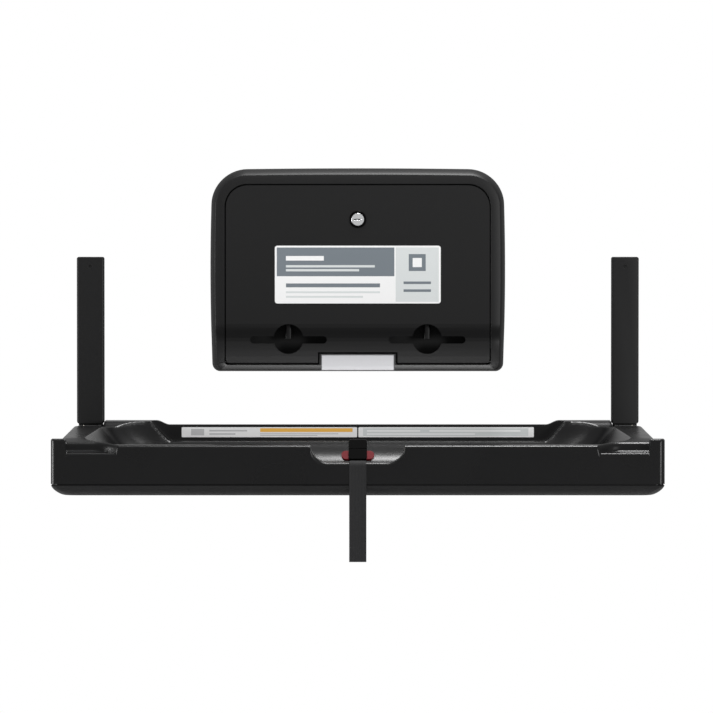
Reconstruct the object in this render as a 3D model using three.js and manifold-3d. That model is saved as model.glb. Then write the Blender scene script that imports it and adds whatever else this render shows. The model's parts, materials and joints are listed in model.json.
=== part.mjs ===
// Wall-hung baby changing station: a fold-down bed on two wall rails, with a liner dispenser above it.
// Millimetres. X runs to the right, Y into the wall (the wall plane is y = 0) and Z up.
// u is the distance out from the wall, so y = -u. z = 0 is the height of the bed's hinge axis.
// a is the distance from the middle plane x = 0, on either side.
import * as THREE from 'three';
import { mergeVertices } from 'three/addons/utils/BufferGeometryUtils.js';
import Module from 'manifold-3d';

const wasm = await Module();
wasm.setup();

// Fits
const GAP = 0.3; // between pieces that touch
const RUNNING = 0.6; // between a piece and what moves past it
const CUT = 12; // how far a cutting shape runs past what it cuts

// Bed outline
const BED_WIDTH = 900;
const BED_FRONT = 530; // front face, from the wall
const BED_REAR = 14; // rear face, from the wall
const BED_CORNER = 8; // radius of the upright corners
const BED_THICKNESS = 83.2; // shelf top to underside
const SHELF_TOP = 8;
const TRAY_WALL = 3.5;
const BASE_WALL = 3;
const BASE_HEIGHT = 13.2; // underside to the reveal
const BASE_ROUND = 18; // how far the rounded lower edge runs in
const REVEAL_HEIGHT = 4.2; // set-back band between base and tray
const REVEAL_DEPTH = 1.3;
const SPIGOT_HEIGHT = 9; // the base's inner lip, which the tray drops over

// Bed rims
const BEVEL_WIDTH = 18.5; // the sides slope down outside the shelf
const BEVEL_DROP = 26;
const CHEEK_WIDTH = 22; // block that ends each side at the front
const CHEEK_DEPTH = 25;
const FRONT_RIM_DROP = 9; // front rim, below the shelf
const FRONT_FALL = 60; // length over which the shelf falls to the front rim
const FRONT_EDGE = 6; // rounding of the front edge
const HOOK_DROP = 24.5; // ledge beside each cheek, where a bag strap hangs, below the shelf
const HOOK_WIDTH = 76;
const HOOK_DEPTH = 22; // how far the rim draws back behind the ledge
const HOOK_TURN = 36; // length over which it draws back
const HOOK_SOFT = 8;
const LEDGE_RISE = 15.5; // the ledge curves up to the rear
const LEDGE_LENGTH = 27;
const LEDGE_POWER = 1.6;
const REAR_RIM_RISE = 1.5; // rear rim, above the shelf
const HOUSING_RISE = 8; // raised rear corners over the dampers, above the shelf
const HOUSING_INSET = 62.4; // from the bed's side to the raised corner
const HOUSING_WIDTH = 78.6;
const HOUSING_RAMP = 20;
const HOUSING_FRONT = 58;

// Bed bowl
const BOWL_DEPTH = 60; // below the shelf
const BOWL_INSET_REAR = 59; // from the bed's side to the bowl's edge
const BOWL_INSET_FRONT = 46;
const BOWL_REAR = 60;
const BOWL_FRONT_INSET = 12; // from the front face to the bowl's edge
const SIDE_SLOPE = 90;
const FRONT_SLOPE = 82;
const REAR_SLOPE = 55;
const SLOPE_POWER = 2.4; // how soon a wall flattens into the floor
const CORNER_POWER = 2.6; // how square the bowl's corners are

// Cuts in the tray
const RECESS_BACK = 30; // label recess in the rear wall
const RECESS_OUT = 96;
const RECESS_LOW = -15;
const RECESS_SLANT = 0.93; // sideways run of its ends for each millimetre up
const RECESS_CORNER = 8;
const NOTCH_FLAT = 43; // half width of the grip notch's floor
const NOTCH_RADIUS = 26.4;
const NOTCH_DEPTH = 25.5; // below the front rim
const NOTCH_LENGTH = 48;
const POCKET_INSET = 59; // from the bed's side to the hinge pocket's inner face
const POCKET_CLEAR = 14; // from the hinge axis to the hinge pocket's front face

// Wall rails and hinges
const AXIS_OUT = 28; // hinge axis, from the wall
const RAIL_INSET = 39.15; // from the bed's side to the middle of a rail
const RAIL_WIDTH = 37.5;
const RAIL_PLATE = 5;
const RAIL_LOW = -66;
const RAIL_HIGH = 258;
const EAR_PLATE = 5;
const EAR_SPREAD = 32; // over both ears
const EAR_LOW = -50;
const EYE_RADIUS = 9;
const PIN_RADIUS = 5;
const PIN_HEAD_RADIUS = 8;
const PIN_HEAD = 2.6;
const PIN_REACH = 46; // how far a pin runs into its damper
const BOLT_HEIGHTS = [236, 120, -58];
const BOLT_SHANK = 4;
const BOLT_HEAD = 6.5;
const BOLT_HEAD_HEIGHT = 4.5;

// Rail covers
const COVER_WIDTH = 42.1;
const COVER_OUT = 19;
const COVER_LOW = 10.5;
const COVER_HIGH = 266.8;
const COVER_SHEET = 2;
const COVER_EDGE = 3;
const COVER_CORNER = 4;
const GRUB_HEIGHT = 252;
const GRUB_RADIUS = 2;
const GRUB_LENGTH = 10;
const TAB_WIDTH = 12;
const TAB_HEIGHT = 14;

// Hinge arms, dampers and what joins them
const ARM_WIDTH = 20;
const ARM_LEAF = 6;
const LEAF_TOP = -2;
const LEAF_REACH = 150;
const HEEL_LOW = -42;
const HEEL_HIGH = -26;
const HEEL_THICKNESS = 8;
const PAD_THICKNESS = 2.7;
const BUSH_RADIUS = 7;
const BUSH_FLANGE_RADIUS = 8.6;
const BUSH_FLANGE = 0.5;
const DAMPER_RADIUS = 10;
const DAMPER_LENGTH = 60;
const SADDLE_LENGTH = 30;
const SADDLE_WIDTH = 14;
const TUBE_CLEAR = 0.5; // from the hinge pocket's wall to the tube's lug
const TUBE_HEIGHT = -40;
const TUBE_RADIUS = 7;
const TUBE_BORE = 5.5;
const TUBE_LUG = 10; // the arm's web, round the tube
const ARM_SCREW_OUT = [92, 136];
const ARM_SCREW_RADIUS = 2.3;
const ARM_SCREW_HEAD = 5;
const ARM_SCREW_HEAD_HEIGHT = 2.6;
const BOSS_RADIUS = 6;
const BASE_SCREW_A = 250;
const BASE_SCREW_OUT = [180, 380];
const BASE_SCREW_RADIUS = 2.2;
const BASE_SCREW_HEAD = 4.5;
const BASE_SCREW_SINK = 4;
const BOSS_MEET = -62; // where the tray's bosses meet the base's

// Safety strap and buckle
const WEBBING_WIDTH = 25.2;
const WEBBING = 1.6;
const ANCHOR_REAR = 83;
const ANCHOR_FRONT = 103;
const ANCHOR_WIDTH = 42;
const ANCHOR_HEIGHT = 4;
const STRAP_LIFT = 82; // where the rear strap leaves the floor, behind the front face
const TAIL_END = -172;
const TAIL_FOLD = 1.9; // the tail's bending line, below the bed
const BUCKLE_WIDTH = 27;
const BUCKLE_THICKNESS = 9;
const BUCKLE_LEAN = 0.555; // radians back from upright
const BUCKLE_FOOT_INSET = 19; // lower end of the buckle, behind the front face
const BUCKLE_FOOT_RISE = 2.8; // above the notch's floor
const PLUG_LENGTH = 17;
const SOCKET_LENGTH = 15;
const TONGUE_LENGTH = 11;
const TONGUE_WIDTH = 12;
const TONGUE_THICKNESS = 4;
const TAB_REACH = 24; // outer edge of a release tab, from the middle
const TAB_INNER = 10;
const TAB_LOW = 0.8;
const TAB_LENGTH = 14;
const TAB_THICKNESS = 4.8;
const TAB_TRAVEL = 4;
const TAB_ROUND = 6;

// Dispenser housing
const DISPENSER_WIDTH = 452;
const DISPENSER_LOW = 92.4;
const DISPENSER_HIGH = 403;
const DISPENSER_TOP_RADIUS = 53;
const DISPENSER_FOOT_RADIUS = 12;
const DISPENSER_WALL = 4;
const BACK_PLATE = 3;
const SIDE_BOW = 3.5; // how far the ends of a side draw in
const TOP_BOW = 2;
const FACE_OUT = 60; // front face, from the wall
const VALLEY_OUT = 55; // where the face dips
const LIP_OUT = 72; // where it flares at the foot
const FACE_LOW = 165; // the flat face ends here
const VALLEY_HEIGHT = 138;
const FLARE_POWER = 1.6;
const EDGE_SIDE = 7.6; // rounding of the front edge, seen from the front
const EDGE_TOP = 10;
const EDGE_FOOT = 3;
const FRAME_DEPTH = 12;
const DIVIDER_WIDTH = 3;
const DIVIDER_DEPTH = 30;
const FINGER_RIB = 10;
const FINGER_RIB_DEPTH = 42;
const FINGER_RIB_HEIGHT = 60;
const SCREW_SPREAD = 150;
const SCREW_HEIGHTS = [190, 360];
const SCREW_SHANK = 2.3;
const SCREW_HEAD = 5;
const SCREW_HEAD_HEIGHT = 2.6;
const BADGE_WIDTH = 112.4;
const BADGE_LOW = 93.5;
const BADGE_HIGH = 118.2;
const BADGE_PLATE = 1.5;
const BADGE_SINK = 1;
const BADGE_TAB_WIDTH = 117;
const BADGE_TAB_HIGH = 119;

// Dispenser door
const DOOR_WIDTH = 404;
const DOOR_LOW = 103.9;
const DOOR_HIGH = 377.2;
const DOOR_TOP_RADIUS = 33;
const DOOR_FOOT_RADIUS = 8;
const DOOR_SHEET = 3;
const DOOR_FLANGE = 2.5;
const DOOR_DEPTH = 11;
const DOOR_SEAM = 1.5;
const DOOR_FOOT_SEAM = 1.3;
const DOOR_FOOT_BEVEL = 1.8;
const DOOR_AXIS_OUT = 61.6;
const DOOR_AXIS_HEIGHT = 106.4;
const DOOR_PIN_RADIUS = 1.6;
const DOOR_PIN_LENGTH = 26;
const DOOR_BOSS_INSET = 8; // from the door's side to the boss that holds a pin
const DOOR_BOSS_WIDTH = 12;
const DOOR_BOSS_HEIGHT = 8;
const NOTCH_CLEAR = 2.5; // door notch round the badge tab
const SLOT_SPREAD = 106.2;
const SLOT_HEIGHT = 140.4;
const SLOT_LENGTH = 117.6;
const SLOT_WIDTH = 11.3;
const FINGER_RADIUS = 23;
const FINGER_HEIGHT = 141.7;

// Cam lock
const LOCK_HEIGHT = 324.9;
const LOCK_FLANGE = 13.2;
const LOCK_FLANGE_HEIGHT = 1.2;
const LOCK_BARREL = 9.5;
const LOCK_FACE = 9.6;
const LOCK_FACE_HEIGHT = 1.8;
const LOCK_STEM = 6;
const KEY_SLOT_LENGTH = 11;
const KEY_SLOT_WIDTH = 2;
const KEY_SLOT_DEPTH = 1.2;
const LOCK_NUT_RADIUS = 13;
const LOCK_NUT_HEIGHT = 4;
const CAM_SHEET = 2;
const CAM_WIDTH = 14;
const CAM_REACH = 58;
const CAM_SCREW_HEAD = 4.5;
const CAM_SCREW_RADIUS = 2.5;
const CAM_SCREW_LENGTH = 8;
const CAM_SCREW_HEAD_HEIGHT = 2;

// Sides of round pieces
const ROUND = 18;
const SMALL_ROUND = 10;
const SIDES = [['left', -1], ['right', 1]];

// Places worked out from the driving dimensions
const HALF = BED_WIDTH / 2;
const BED_BOTTOM = SHELF_TOP - BED_THICKNESS;
const BASE_TOP = BED_BOTTOM + BASE_HEIGHT;
const TRAY_LOW = BASE_TOP + REVEAL_HEIGHT;
const FLOOR = SHELF_TOP - BOWL_DEPTH;
const FLOOR_UNDER = FLOOR - TRAY_WALL;
const SHELF_OUTER = HALF - BEVEL_WIDTH;
const CHEEK_INNER = HALF - CHEEK_WIDTH;
const CHEEK_REAR = BED_FRONT - CHEEK_DEPTH;
const FRONT_RIM = SHELF_TOP - FRONT_RIM_DROP;
const HOOK_START = CHEEK_INNER - HOOK_WIDTH;
const HOUSING_OUTER = HALF - HOUSING_INSET;
const RAMP_OUTER = HOUSING_OUTER - HOUSING_WIDTH;
const RAMP_INNER = RAMP_OUTER - HOUSING_RAMP;
const POCKET_FRONT = AXIS_OUT + POCKET_CLEAR;
const TUBE_OUT = POCKET_FRONT + TRAY_WALL + TUBE_CLEAR + TUBE_LUG;
const POCKET_INNER = HALF - POCKET_INSET;
const BOWL_FRONT = BED_FRONT - BOWL_FRONT_INSET;
const NOTCH_LOW = FRONT_RIM - NOTCH_DEPTH;
const RAIL_MIDDLE = HALF - RAIL_INSET;
const EAR_OUTER = RAIL_MIDDLE + EAR_SPREAD / 2;
const EAR_INNER = RAIL_MIDDLE - EAR_SPREAD / 2;
const ARM_INNER = RAIL_MIDDLE - ARM_WIDTH / 2;
const ARM_OUTER = RAIL_MIDDLE + ARM_WIDTH / 2;
const LEAF_LOW = LEAF_TOP - ARM_LEAF;
const DAMPER_OUTER = HOUSING_OUTER - TRAY_WALL - GAP;
const TAIL_OUT = BED_FRONT + GAP + WEBBING / 2;
const FOLD_HEIGHT = BED_BOTTOM - TAIL_FOLD;
const OPENING_HALF = DOOR_WIDTH / 2 + DOOR_SEAM;
const OPENING_LOW = DOOR_LOW - DOOR_FOOT_SEAM;
const OPENING_HIGH = DOOR_HIGH + DOOR_SEAM;
const PIN_ROOT = DOOR_WIDTH / 2 - DOOR_BOSS_INSET - DOOR_BOSS_WIDTH;
const PIN_TIP = PIN_ROOT + DOOR_PIN_LENGTH;
const CAM_OUT = FACE_OUT - FRAME_DEPTH - GAP;
const DOOR_BACK = FACE_OUT - DOOR_SHEET;

// Finishes
function finish(color, roughness, metalness) {
  return new THREE.MeshStandardMaterial({ color, roughness, metalness });
}
const BLACK_PLASTIC = finish(0x232324, 0.45, 0);
const SATIN_PLASTIC = finish(0x2b2b2c, 0.5, 0);
const BLACK_STEEL = finish(0x1c1c1d, 0.5, 0.2);
const BARE_STEEL = finish(0x9a9c9e, 0.35, 1);
const CHROME = finish(0xd6d8da, 0.12, 1);
const BADGE_METAL = finish(0xc9cbcc, 0.4, 0.8);
const RED_PLASTIC = finish(0xa81c1c, 0.4, 0);
const BUCKLE_PLASTIC = finish(0x121213, 0.4, 0);
const WEBBING_CLOTH = finish(0x2f2f31, 0.9, 0);
const NYLON = finish(0xd8d4c8, 0.6, 0);
const RUBBER = finish(0x161616, 0.9, 0);

const station = new THREE.Group();

function part(name, shape, material) {
  const mesh = new THREE.Mesh(shape.getMesh ? geometryOf(shape) : shape, material);
  mesh.name = name;
  station.add(mesh);
}

// A closed mesh as a solid. A mesh that is inside out is turned round first.
function solid(geometry) {
  geometry.deleteAttribute('normal');
  geometry.deleteAttribute('uv');
  const merged = mergeVertices(geometry);
  const points = merged.attributes.position;
  const faces = Uint32Array.from(merged.index.array);
  const [p, q, r] = [0, 1, 2].map(() => new THREE.Vector3());
  let volume = 0;
  for (let i = 0; i < faces.length; i += 3) {
    p.fromBufferAttribute(points, faces[i]);
    q.fromBufferAttribute(points, faces[i + 1]);
    r.fromBufferAttribute(points, faces[i + 2]);
    volume += p.dot(q.cross(r));
  }
  if (volume < 0) faces.reverse();
  return new wasm.Manifold(new wasm.Mesh({
    numProp: 3,
    vertProperties: Float32Array.from(points.array),
    triVerts: faces,
  }));
}

function geometryOf(manifold) {
  const mesh = manifold.getMesh();
  const geometry = new THREE.BufferGeometry();
  geometry.setAttribute('position', new THREE.BufferAttribute(mesh.vertProperties, 3));
  geometry.setIndex(new THREE.BufferAttribute(mesh.triVerts, 1));
  geometry.computeVertexNormals();
  return geometry;
}

const joined = (...solids) => solids.reduce((sum, next) => sum.add(next));

// Prisms: an outline given in two of the directions x, u and z, carried along the third.
const ALONG_X = new THREE.Vector3(1, 0, 0);
const ALONG_U = new THREE.Vector3(0, -1, 0);
const ALONG_Z = new THREE.Vector3(0, 0, 1);

function prism(outline, across, up, start, length) {
  const shape = new THREE.Shape(outline.map(([s, t]) => new THREE.Vector2(s, t)));
  const geometry = new THREE.ExtrudeGeometry(shape, { depth: length, bevelEnabled: false });
  const along = across.clone().cross(up);
  geometry.applyMatrix4(new THREE.Matrix4().makeBasis(across, up, along).setPosition(start));
  return solid(geometry);
}

const prismX = (outline, x0, x1) => prism(outline, ALONG_U, ALONG_Z, new THREE.Vector3(x1, 0, 0), x1 - x0);
const prismU = (outline, u0, u1) => prism(outline, ALONG_X, ALONG_Z, new THREE.Vector3(0, -u0, 0), u1 - u0);
const prismZ = (outline, z0, z1) => prism(outline, ALONG_X, ALONG_U, new THREE.Vector3(0, 0, z1), z1 - z0);
const block = (x0, x1, u0, u1, z0, z1) => prismZ([[x0, u0], [x1, u0], [x1, u1], [x0, u1]], z0, z1);

// The same between two distances from the middle plane, on one side of it.
const onSide = (side, a0, a1) => (side > 0 ? [a0, a1] : [-a1, -a0]);

// Rods along each direction
function rod(radius, length, sides, turn, middle) {
  const geometry = new THREE.CylinderGeometry(radius, radius, length, sides);
  geometry.applyMatrix4(turn);
  geometry.translate(...middle);
  return solid(geometry);
}
const TO_X = new THREE.Matrix4().makeRotationZ(-Math.PI / 2);
const TO_Y = new THREE.Matrix4();
const TO_Z = new THREE.Matrix4().makeRotationX(Math.PI / 2);
const rodX = (u, z, radius, x0, x1, sides = ROUND) =>
  rod(radius, x1 - x0, sides, TO_X, [(x0 + x1) / 2, -u, z]);
const rodU = (x, z, radius, u0, u1, sides = ROUND) =>
  rod(radius, u1 - u0, sides, TO_Y, [x, -(u0 + u1) / 2, z]);
const rodZ = (x, u, radius, z0, z1, sides = ROUND) =>
  rod(radius, z1 - z0, sides, TO_Z, [x, -u, (z0 + z1) / 2]);

// Points of an arc, both ends included
function arc(s, t, radius, from, to, steps) {
  return Array.from({ length: steps + 1 }, (_, i) => {
    const angle = from + ((to - from) * i) / steps;
    return [s + radius * Math.cos(angle), t + radius * Math.sin(angle)];
  });
}
const QUARTER = Math.PI / 2;

// A rectangle with round corners, in order from the low corner at the far side, anticlockwise
function rounded(s0, s1, t0, t1, low, high, steps = 5) {
  return [
    ...arc(s0 + low, t0 + low, low, 2 * QUARTER, 3 * QUARTER, steps),
    ...arc(s1 - low, t0 + low, low, 3 * QUARTER, 4 * QUARTER, steps),
    ...arc(s1 - high, t1 - high, high, 0, QUARTER, steps),
    ...arc(s0 + high, t1 - high, high, QUARTER, 2 * QUARTER, steps),
  ];
}

const clamp = (t) => Math.min(Math.max(t, 0), 1);
const smooth = (t) => clamp(t) ** 2 * (3 - 2 * clamp(t));
const mix = (from, to, t) => from + (to - from) * t;
const steps = (from, to, count) => Array.from({ length: count }, (_, i) => mix(from, to, i / count));

// A closed surface through rings of points, each ring as long as the next, with flat ends
function loft(rings) {
  const count = rings[0].length;
  const points = rings.flat();
  const faces = [];
  for (let ring = 0; ring + 1 < rings.length; ring += 1) {
    for (let i = 0; i < count; i += 1) {
      const [here, next] = [ring * count + i, ring * count + ((i + 1) % count)];
      faces.push(here, next, next + count, here, next + count, here + count);
    }
  }
  const end = (ring, first, turned) => {
    const flat = ring.map((p) => new THREE.Vector2(p[0], turned ? p[2] : -p[1]));
    return THREE.ShapeUtils.triangulateShape(flat, []).map((f) => f.map((i) => first + i));
  };
  const upright = Math.max(...rings[0].map((p) => p[2])) - Math.min(...rings[0].map((p) => p[2])) > 1;
  end(rings[0], 0, upright).forEach(([i, j, k]) => faces.push(i, k, j));
  end(rings.at(-1), points.length - count, upright).forEach((f) => faces.push(...f));
  const geometry = new THREE.BufferGeometry();
  geometry.setAttribute('position', new THREE.Float32BufferAttribute(points.flat(), 3));
  geometry.setIndex(faces);
  return solid(geometry);
}

// A block whose top is a height over a grid of x and u
function terrain(xs, us, height, floor) {
  const points = [];
  for (const u of us) {
    for (const x of xs) points.push(x, -u, height(Math.abs(x), u));
  }
  const wide = xs.length;
  const at = (i, j) => j * wide + i;
  const faces = [];
  for (let j = 0; j + 1 < us.length; j += 1) {
    for (let i = 0; i + 1 < wide; i += 1) {
      faces.push(at(i, j), at(i + 1, j + 1), at(i + 1, j), at(i, j), at(i, j + 1), at(i + 1, j + 1));
    }
  }
  const edge = [
    ...xs.map((_, i) => at(i, 0)).slice(0, -1),
    ...us.map((_, j) => at(wide - 1, j)).slice(0, -1),
    ...xs.map((_, i) => at(wide - 1 - i, us.length - 1)).slice(0, -1),
    ...us.map((_, j) => at(0, us.length - 1 - j)).slice(0, -1),
  ];
  const below = points.length / 3;
  edge.forEach((i) => points.push(points[3 * i], points[3 * i + 1], floor));
  const centre = points.length / 3;
  points.push(0, -(us[0] + us.at(-1)) / 2, floor);
  edge.forEach((here, k) => {
    const n = (k + 1) % edge.length;
    faces.push(here, edge[n], below + n, here, below + n, below + k, below + k, below + n, centre);
  });
  const geometry = new THREE.BufferGeometry();
  geometry.setAttribute('position', new THREE.Float32BufferAttribute(points, 3));
  geometry.setIndex(faces);
  return solid(geometry);
}

// Bed tray: rim heights all round, sinking into the bowl. grow is how far inside the skin it is taken.
function rimHeight(a, u, grow) {
  const toFront = smooth((u - BED_FRONT + FRONT_FALL) / FRONT_FALL);
  const drawnBack = 1 - (1 - clamp((a - HOOK_START) / HOOK_TURN)) ** 2;
  const hook = drawnBack > 0 ? smooth((u - BED_FRONT + HOOK_DEPTH * drawnBack) / HOOK_SOFT) : 0;
  const ledge = SHELF_TOP - HOOK_DROP + LEDGE_RISE * clamp((BED_FRONT - u) / LEDGE_LENGTH) ** LEDGE_POWER;
  let z = mix(SHELF_TOP - FRONT_RIM_DROP * toFront, ledge, hook);
  const onCheek = u > CHEEK_REAR + grow && a > CHEEK_INNER + grow;
  if (onCheek) z = SHELF_TOP;
  else if (a > SHELF_OUTER) z -= BEVEL_DROP * (a - SHELF_OUTER) / BEVEL_WIDTH;
  const raised = smooth((a - RAMP_INNER) / HOUSING_RAMP);
  const rear = SHELF_TOP + mix(REAR_RIM_RISE, HOUSING_RISE, raised);
  const inside = 1 - smooth((a - HOUSING_OUTER) / (POCKET_INNER - HOUSING_OUTER));
  const behind = 1 - smooth((u - HOUSING_FRONT) / (BOWL_REAR - HOUSING_FRONT + REAR_SLOPE / 4));
  z = mix(z, rear, inside * behind);
  const edge = clamp((u - BED_FRONT + FRONT_EDGE) / FRONT_EDGE);
  const round = onCheek ? FRONT_EDGE : FRONT_EDGE * (1 - hook);
  return z - round * (1 - Math.sqrt(1 - edge ** 2));
}

function bowlSink(a, u, grow) {
  const along = (u - BOWL_REAR) / (BOWL_FRONT - BOWL_REAR);
  const half = HALF + grow - mix(BOWL_INSET_REAR, BOWL_INSET_FRONT, clamp(along));
  const near = [
    1 - (half - a) / SIDE_SLOPE,
    1 - (BOWL_FRONT + grow - u) / FRONT_SLOPE,
    1 - (u - BOWL_REAR + grow) / REAR_SLOPE,
  ];
  const far = near.reduce((sum, t) => sum + Math.max(t, 0) ** CORNER_POWER, 0) ** (1 / CORNER_POWER);
  return 1 - clamp(far) ** SLOPE_POWER;
}

function trayHeight(a, u, grow = 0) {
  const towardFront = u > (BED_REAR + BED_FRONT) / 2 ? grow : 0;
  const rim = rimHeight(a + grow, u + towardFront, 2 * grow);
  return mix(rim, FLOOR, bowlSink(a, u, grow)) - grow;
}

const HAIR = 0.05; // half width of an upright step in the height grid
const bowlStart = BOWL_REAR + REAR_SLOPE;
const bowlEnd = BOWL_FRONT - FRONT_SLOPE;
const halfStations = [
  ...steps(0, RAMP_INNER, 4),
  ...steps(RAMP_INNER, RAMP_OUTER, 3),
  ...steps(RAMP_OUTER, HOUSING_OUTER - TRAY_WALL, 5),
  HOUSING_OUTER - TRAY_WALL,
  HOUSING_OUTER,
  ...steps(POCKET_INNER, CHEEK_INNER - HAIR, 3),
  CHEEK_INNER - HAIR,
  CHEEK_INNER + HAIR,
  SHELF_OUTER,
  HALF + 1,
];
const xStations = [...halfStations.slice(1).map((x) => -x).reverse(), ...halfStations];
const bandStations = [
  BOWL_REAR,
  ...steps(BOWL_REAR + 6, bowlStart, 5),
  ...steps(bowlStart, bowlEnd, 3),
  ...steps(bowlEnd, CHEEK_REAR - HAIR, 6),
];
const uStations = [
  BED_REAR - 1,
  RECESS_BACK,
  BOWL_REAR - TRAY_WALL,
  ...bandStations,
  CHEEK_REAR - HAIR,
  CHEEK_REAR + HAIR,
  ...steps(CHEEK_REAR + 5, BED_FRONT - FRONT_EDGE, 2),
  ...[1, 0.55, 0.2, 0].map((t) => BED_FRONT - FRONT_EDGE * t),
  BED_FRONT + 1,
];

const bedOutline = (inset, grow = 0) => rounded(
  -HALF + inset, HALF - inset, BED_REAR + inset, BED_FRONT - inset,
  Math.max(BED_CORNER - inset, 1) + grow, Math.max(BED_CORNER - inset, 1) + grow,
);

function recessShape(grow) {
  const half = RAMP_INNER + grow * 1.4;
  const low = RECESS_LOW - grow;
  const high = SHELF_TOP + HOUSING_RISE + CUT;
  const top = half + (high - low) * RECESS_SLANT;
  const start = 1.15 * Math.PI;
  const foot = arc(-half + RECESS_CORNER, low + RECESS_CORNER, RECESS_CORNER, start, 3 * QUARTER, 3);
  const outline = [...foot, ...foot.map(([x, z]) => [-x, z]).reverse(), [top, high], [-top, high]];
  return prismU(outline, RECESS_BACK - grow, RECESS_OUT + grow);
}

function notchShape(grow) {
  const radius = NOTCH_RADIUS + grow;
  const centre = NOTCH_LOW + NOTCH_RADIUS;
  const left = arc(-NOTCH_FLAT, centre, radius, 2 * QUARTER, 3 * QUARTER, 7);
  const right = left.map(([x, z]) => [-x, z]).reverse();
  const high = SHELF_TOP + CUT;
  const top = NOTCH_FLAT + radius;
  return prismU([...left, ...right, [top, high], [-top, high]], BED_FRONT - NOTCH_LENGTH, BED_FRONT + CUT);
}

const low = BED_BOTTOM - CUT;
const high = SHELF_TOP + HOUSING_RISE + 2 * CUT;
function pockets(grow) {
  return joined(...SIDES.map(([, side]) => block(
    ...onSide(side, POCKET_INNER - grow, HALF + CUT), BED_REAR - CUT, POCKET_FRONT + grow, low, high,
  )));
}

const armScrews = SIDES.flatMap(([name, side]) =>
  ARM_SCREW_OUT.map((u, i) => ({ name: `arm_screw_${name}_${i + 1}`, x: side * RAIL_MIDDLE, u })));
const baseScrews = SIDES.flatMap(([name, side]) =>
  BASE_SCREW_OUT.map((u, i) => ({ name: `base_screw_${name}_${i + 1}`, x: side * BASE_SCREW_A, u })));

function bedTray() {
  const outer = terrain(xStations, uStations, (a, u) => trayHeight(a, u), low)
    .intersect(prismZ(bedOutline(0), TRAY_LOW, high))
    .subtract(joined(recessShape(0), notchShape(0), pockets(0)));
  const core = terrain(xStations, uStations, (a, u) => trayHeight(a, u, TRAY_WALL), low)
    .intersect(prismZ(bedOutline(TRAY_WALL), low, high))
    .subtract(joined(recessShape(TRAY_WALL), notchShape(TRAY_WALL), pockets(TRAY_WALL)));
  const shell = outer.subtract(core);
  const bosses = [
    ...armScrews.map(({ x, u }) => rodZ(x, u, BOSS_RADIUS, LEAF_TOP + GAP, SHELF_TOP - 1, SMALL_ROUND)),
    ...baseScrews.map(({ x, u }) => rodZ(x, u, BOSS_RADIUS, BOSS_MEET, FLOOR - 1, SMALL_ROUND)),
  ];
  const bores = [
    ...armScrews.map(({ x, u }) =>
      rodZ(x, u, ARM_SCREW_RADIUS + GAP, LEAF_TOP - 1, SHELF_TOP - TRAY_WALL, SMALL_ROUND)),
    ...baseScrews.map(({ x, u }) =>
      rodZ(x, u, BASE_SCREW_RADIUS + GAP, BOSS_MEET - 1, FLOOR_UNDER, SMALL_ROUND)),
  ];
  const hingeHoles = SIDES.flatMap(([, side]) => [
    rodX(AXIS_OUT, 0, PIN_RADIUS + RUNNING, ...onSide(side, DAMPER_OUTER - 1, POCKET_INNER + 1)),
    block(
      ...onSide(side, ARM_INNER - RUNNING, ARM_OUTER + RUNNING),
      POCKET_FRONT - 1, POCKET_FRONT + TRAY_WALL + 1, LEAF_LOW - RUNNING, LEAF_TOP + RUNNING,
    ),
  ]);
  return joined(shell, ...bosses).subtract(joined(...bores, ...hingeHoles));
}

// Bed base: a shallow pan with a rounded lower edge and a lip that the tray drops over
function bedBase() {
  const ring = (inset, z) => bedOutline(inset, inset / 2).map(([x, u]) => [x, -u, z]);
  const lipInset = TRAY_WALL + GAP;
  const turns = [0, 0.25, 0.5, 0.75, 1];
  const pan = loft(turns.map((t) => ring(
    BASE_ROUND * (1 - Math.sin(t * QUARTER)), BASE_TOP - BASE_HEIGHT * Math.cos(t * QUARTER),
  )));
  const lip = prismZ(bedOutline(lipInset), BASE_TOP - 1, BASE_TOP + SPIGOT_HEIGHT).subtract(pockets(lipInset));
  const reveal = prismZ(bedOutline(REVEAL_DEPTH), BASE_TOP - 1, TRAY_LOW - GAP).subtract(pockets(0));
  const inner = lipInset + BASE_WALL;
  const hollow = loft([
    ring(BASE_ROUND, BED_BOTTOM + BASE_WALL),
    ring(inner + BASE_ROUND / 4, BED_BOTTOM + 2 * BASE_WALL),
    ring(inner, BASE_TOP - 1),
    ring(inner, BASE_TOP + SPIGOT_HEIGHT + 1),
  ]).subtract(pockets(inner));
  const shell = joined(pan.subtract(pockets(0)), reveal, lip).subtract(hollow);
  const bosses = baseScrews.map(({ x, u }) =>
    rodZ(x, u, BOSS_RADIUS + 1, BED_BOTTOM + 1, BOSS_MEET - GAP, SMALL_ROUND));
  const bores = baseScrews.flatMap(({ x, u }) => [
    rodZ(x, u, BASE_SCREW_RADIUS + GAP, BED_BOTTOM - 1, BOSS_MEET + 1, SMALL_ROUND),
    rodZ(x, u, BASE_SCREW_HEAD + GAP, BED_BOTTOM - 1, BED_BOTTOM + BASE_SCREW_SINK, SMALL_ROUND),
  ]);
  return joined(shell, ...bosses).subtract(joined(...bores));
}

part('bed_tray', bedTray(), BLACK_PLASTIC);
part('bed_base', bedBase(), BLACK_PLASTIC);
for (const { name, x, u } of baseScrews) {
  const headTop = BED_BOTTOM + BASE_SCREW_SINK - GAP;
  const head = rodZ(x, u, BASE_SCREW_HEAD, BED_BOTTOM + 1, headTop, SMALL_ROUND);
  part(name, head.add(rodZ(x, u, BASE_SCREW_RADIUS, headTop - 1, FLOOR_UNDER - 1, SMALL_ROUND)), BARE_STEEL);
}

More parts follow.
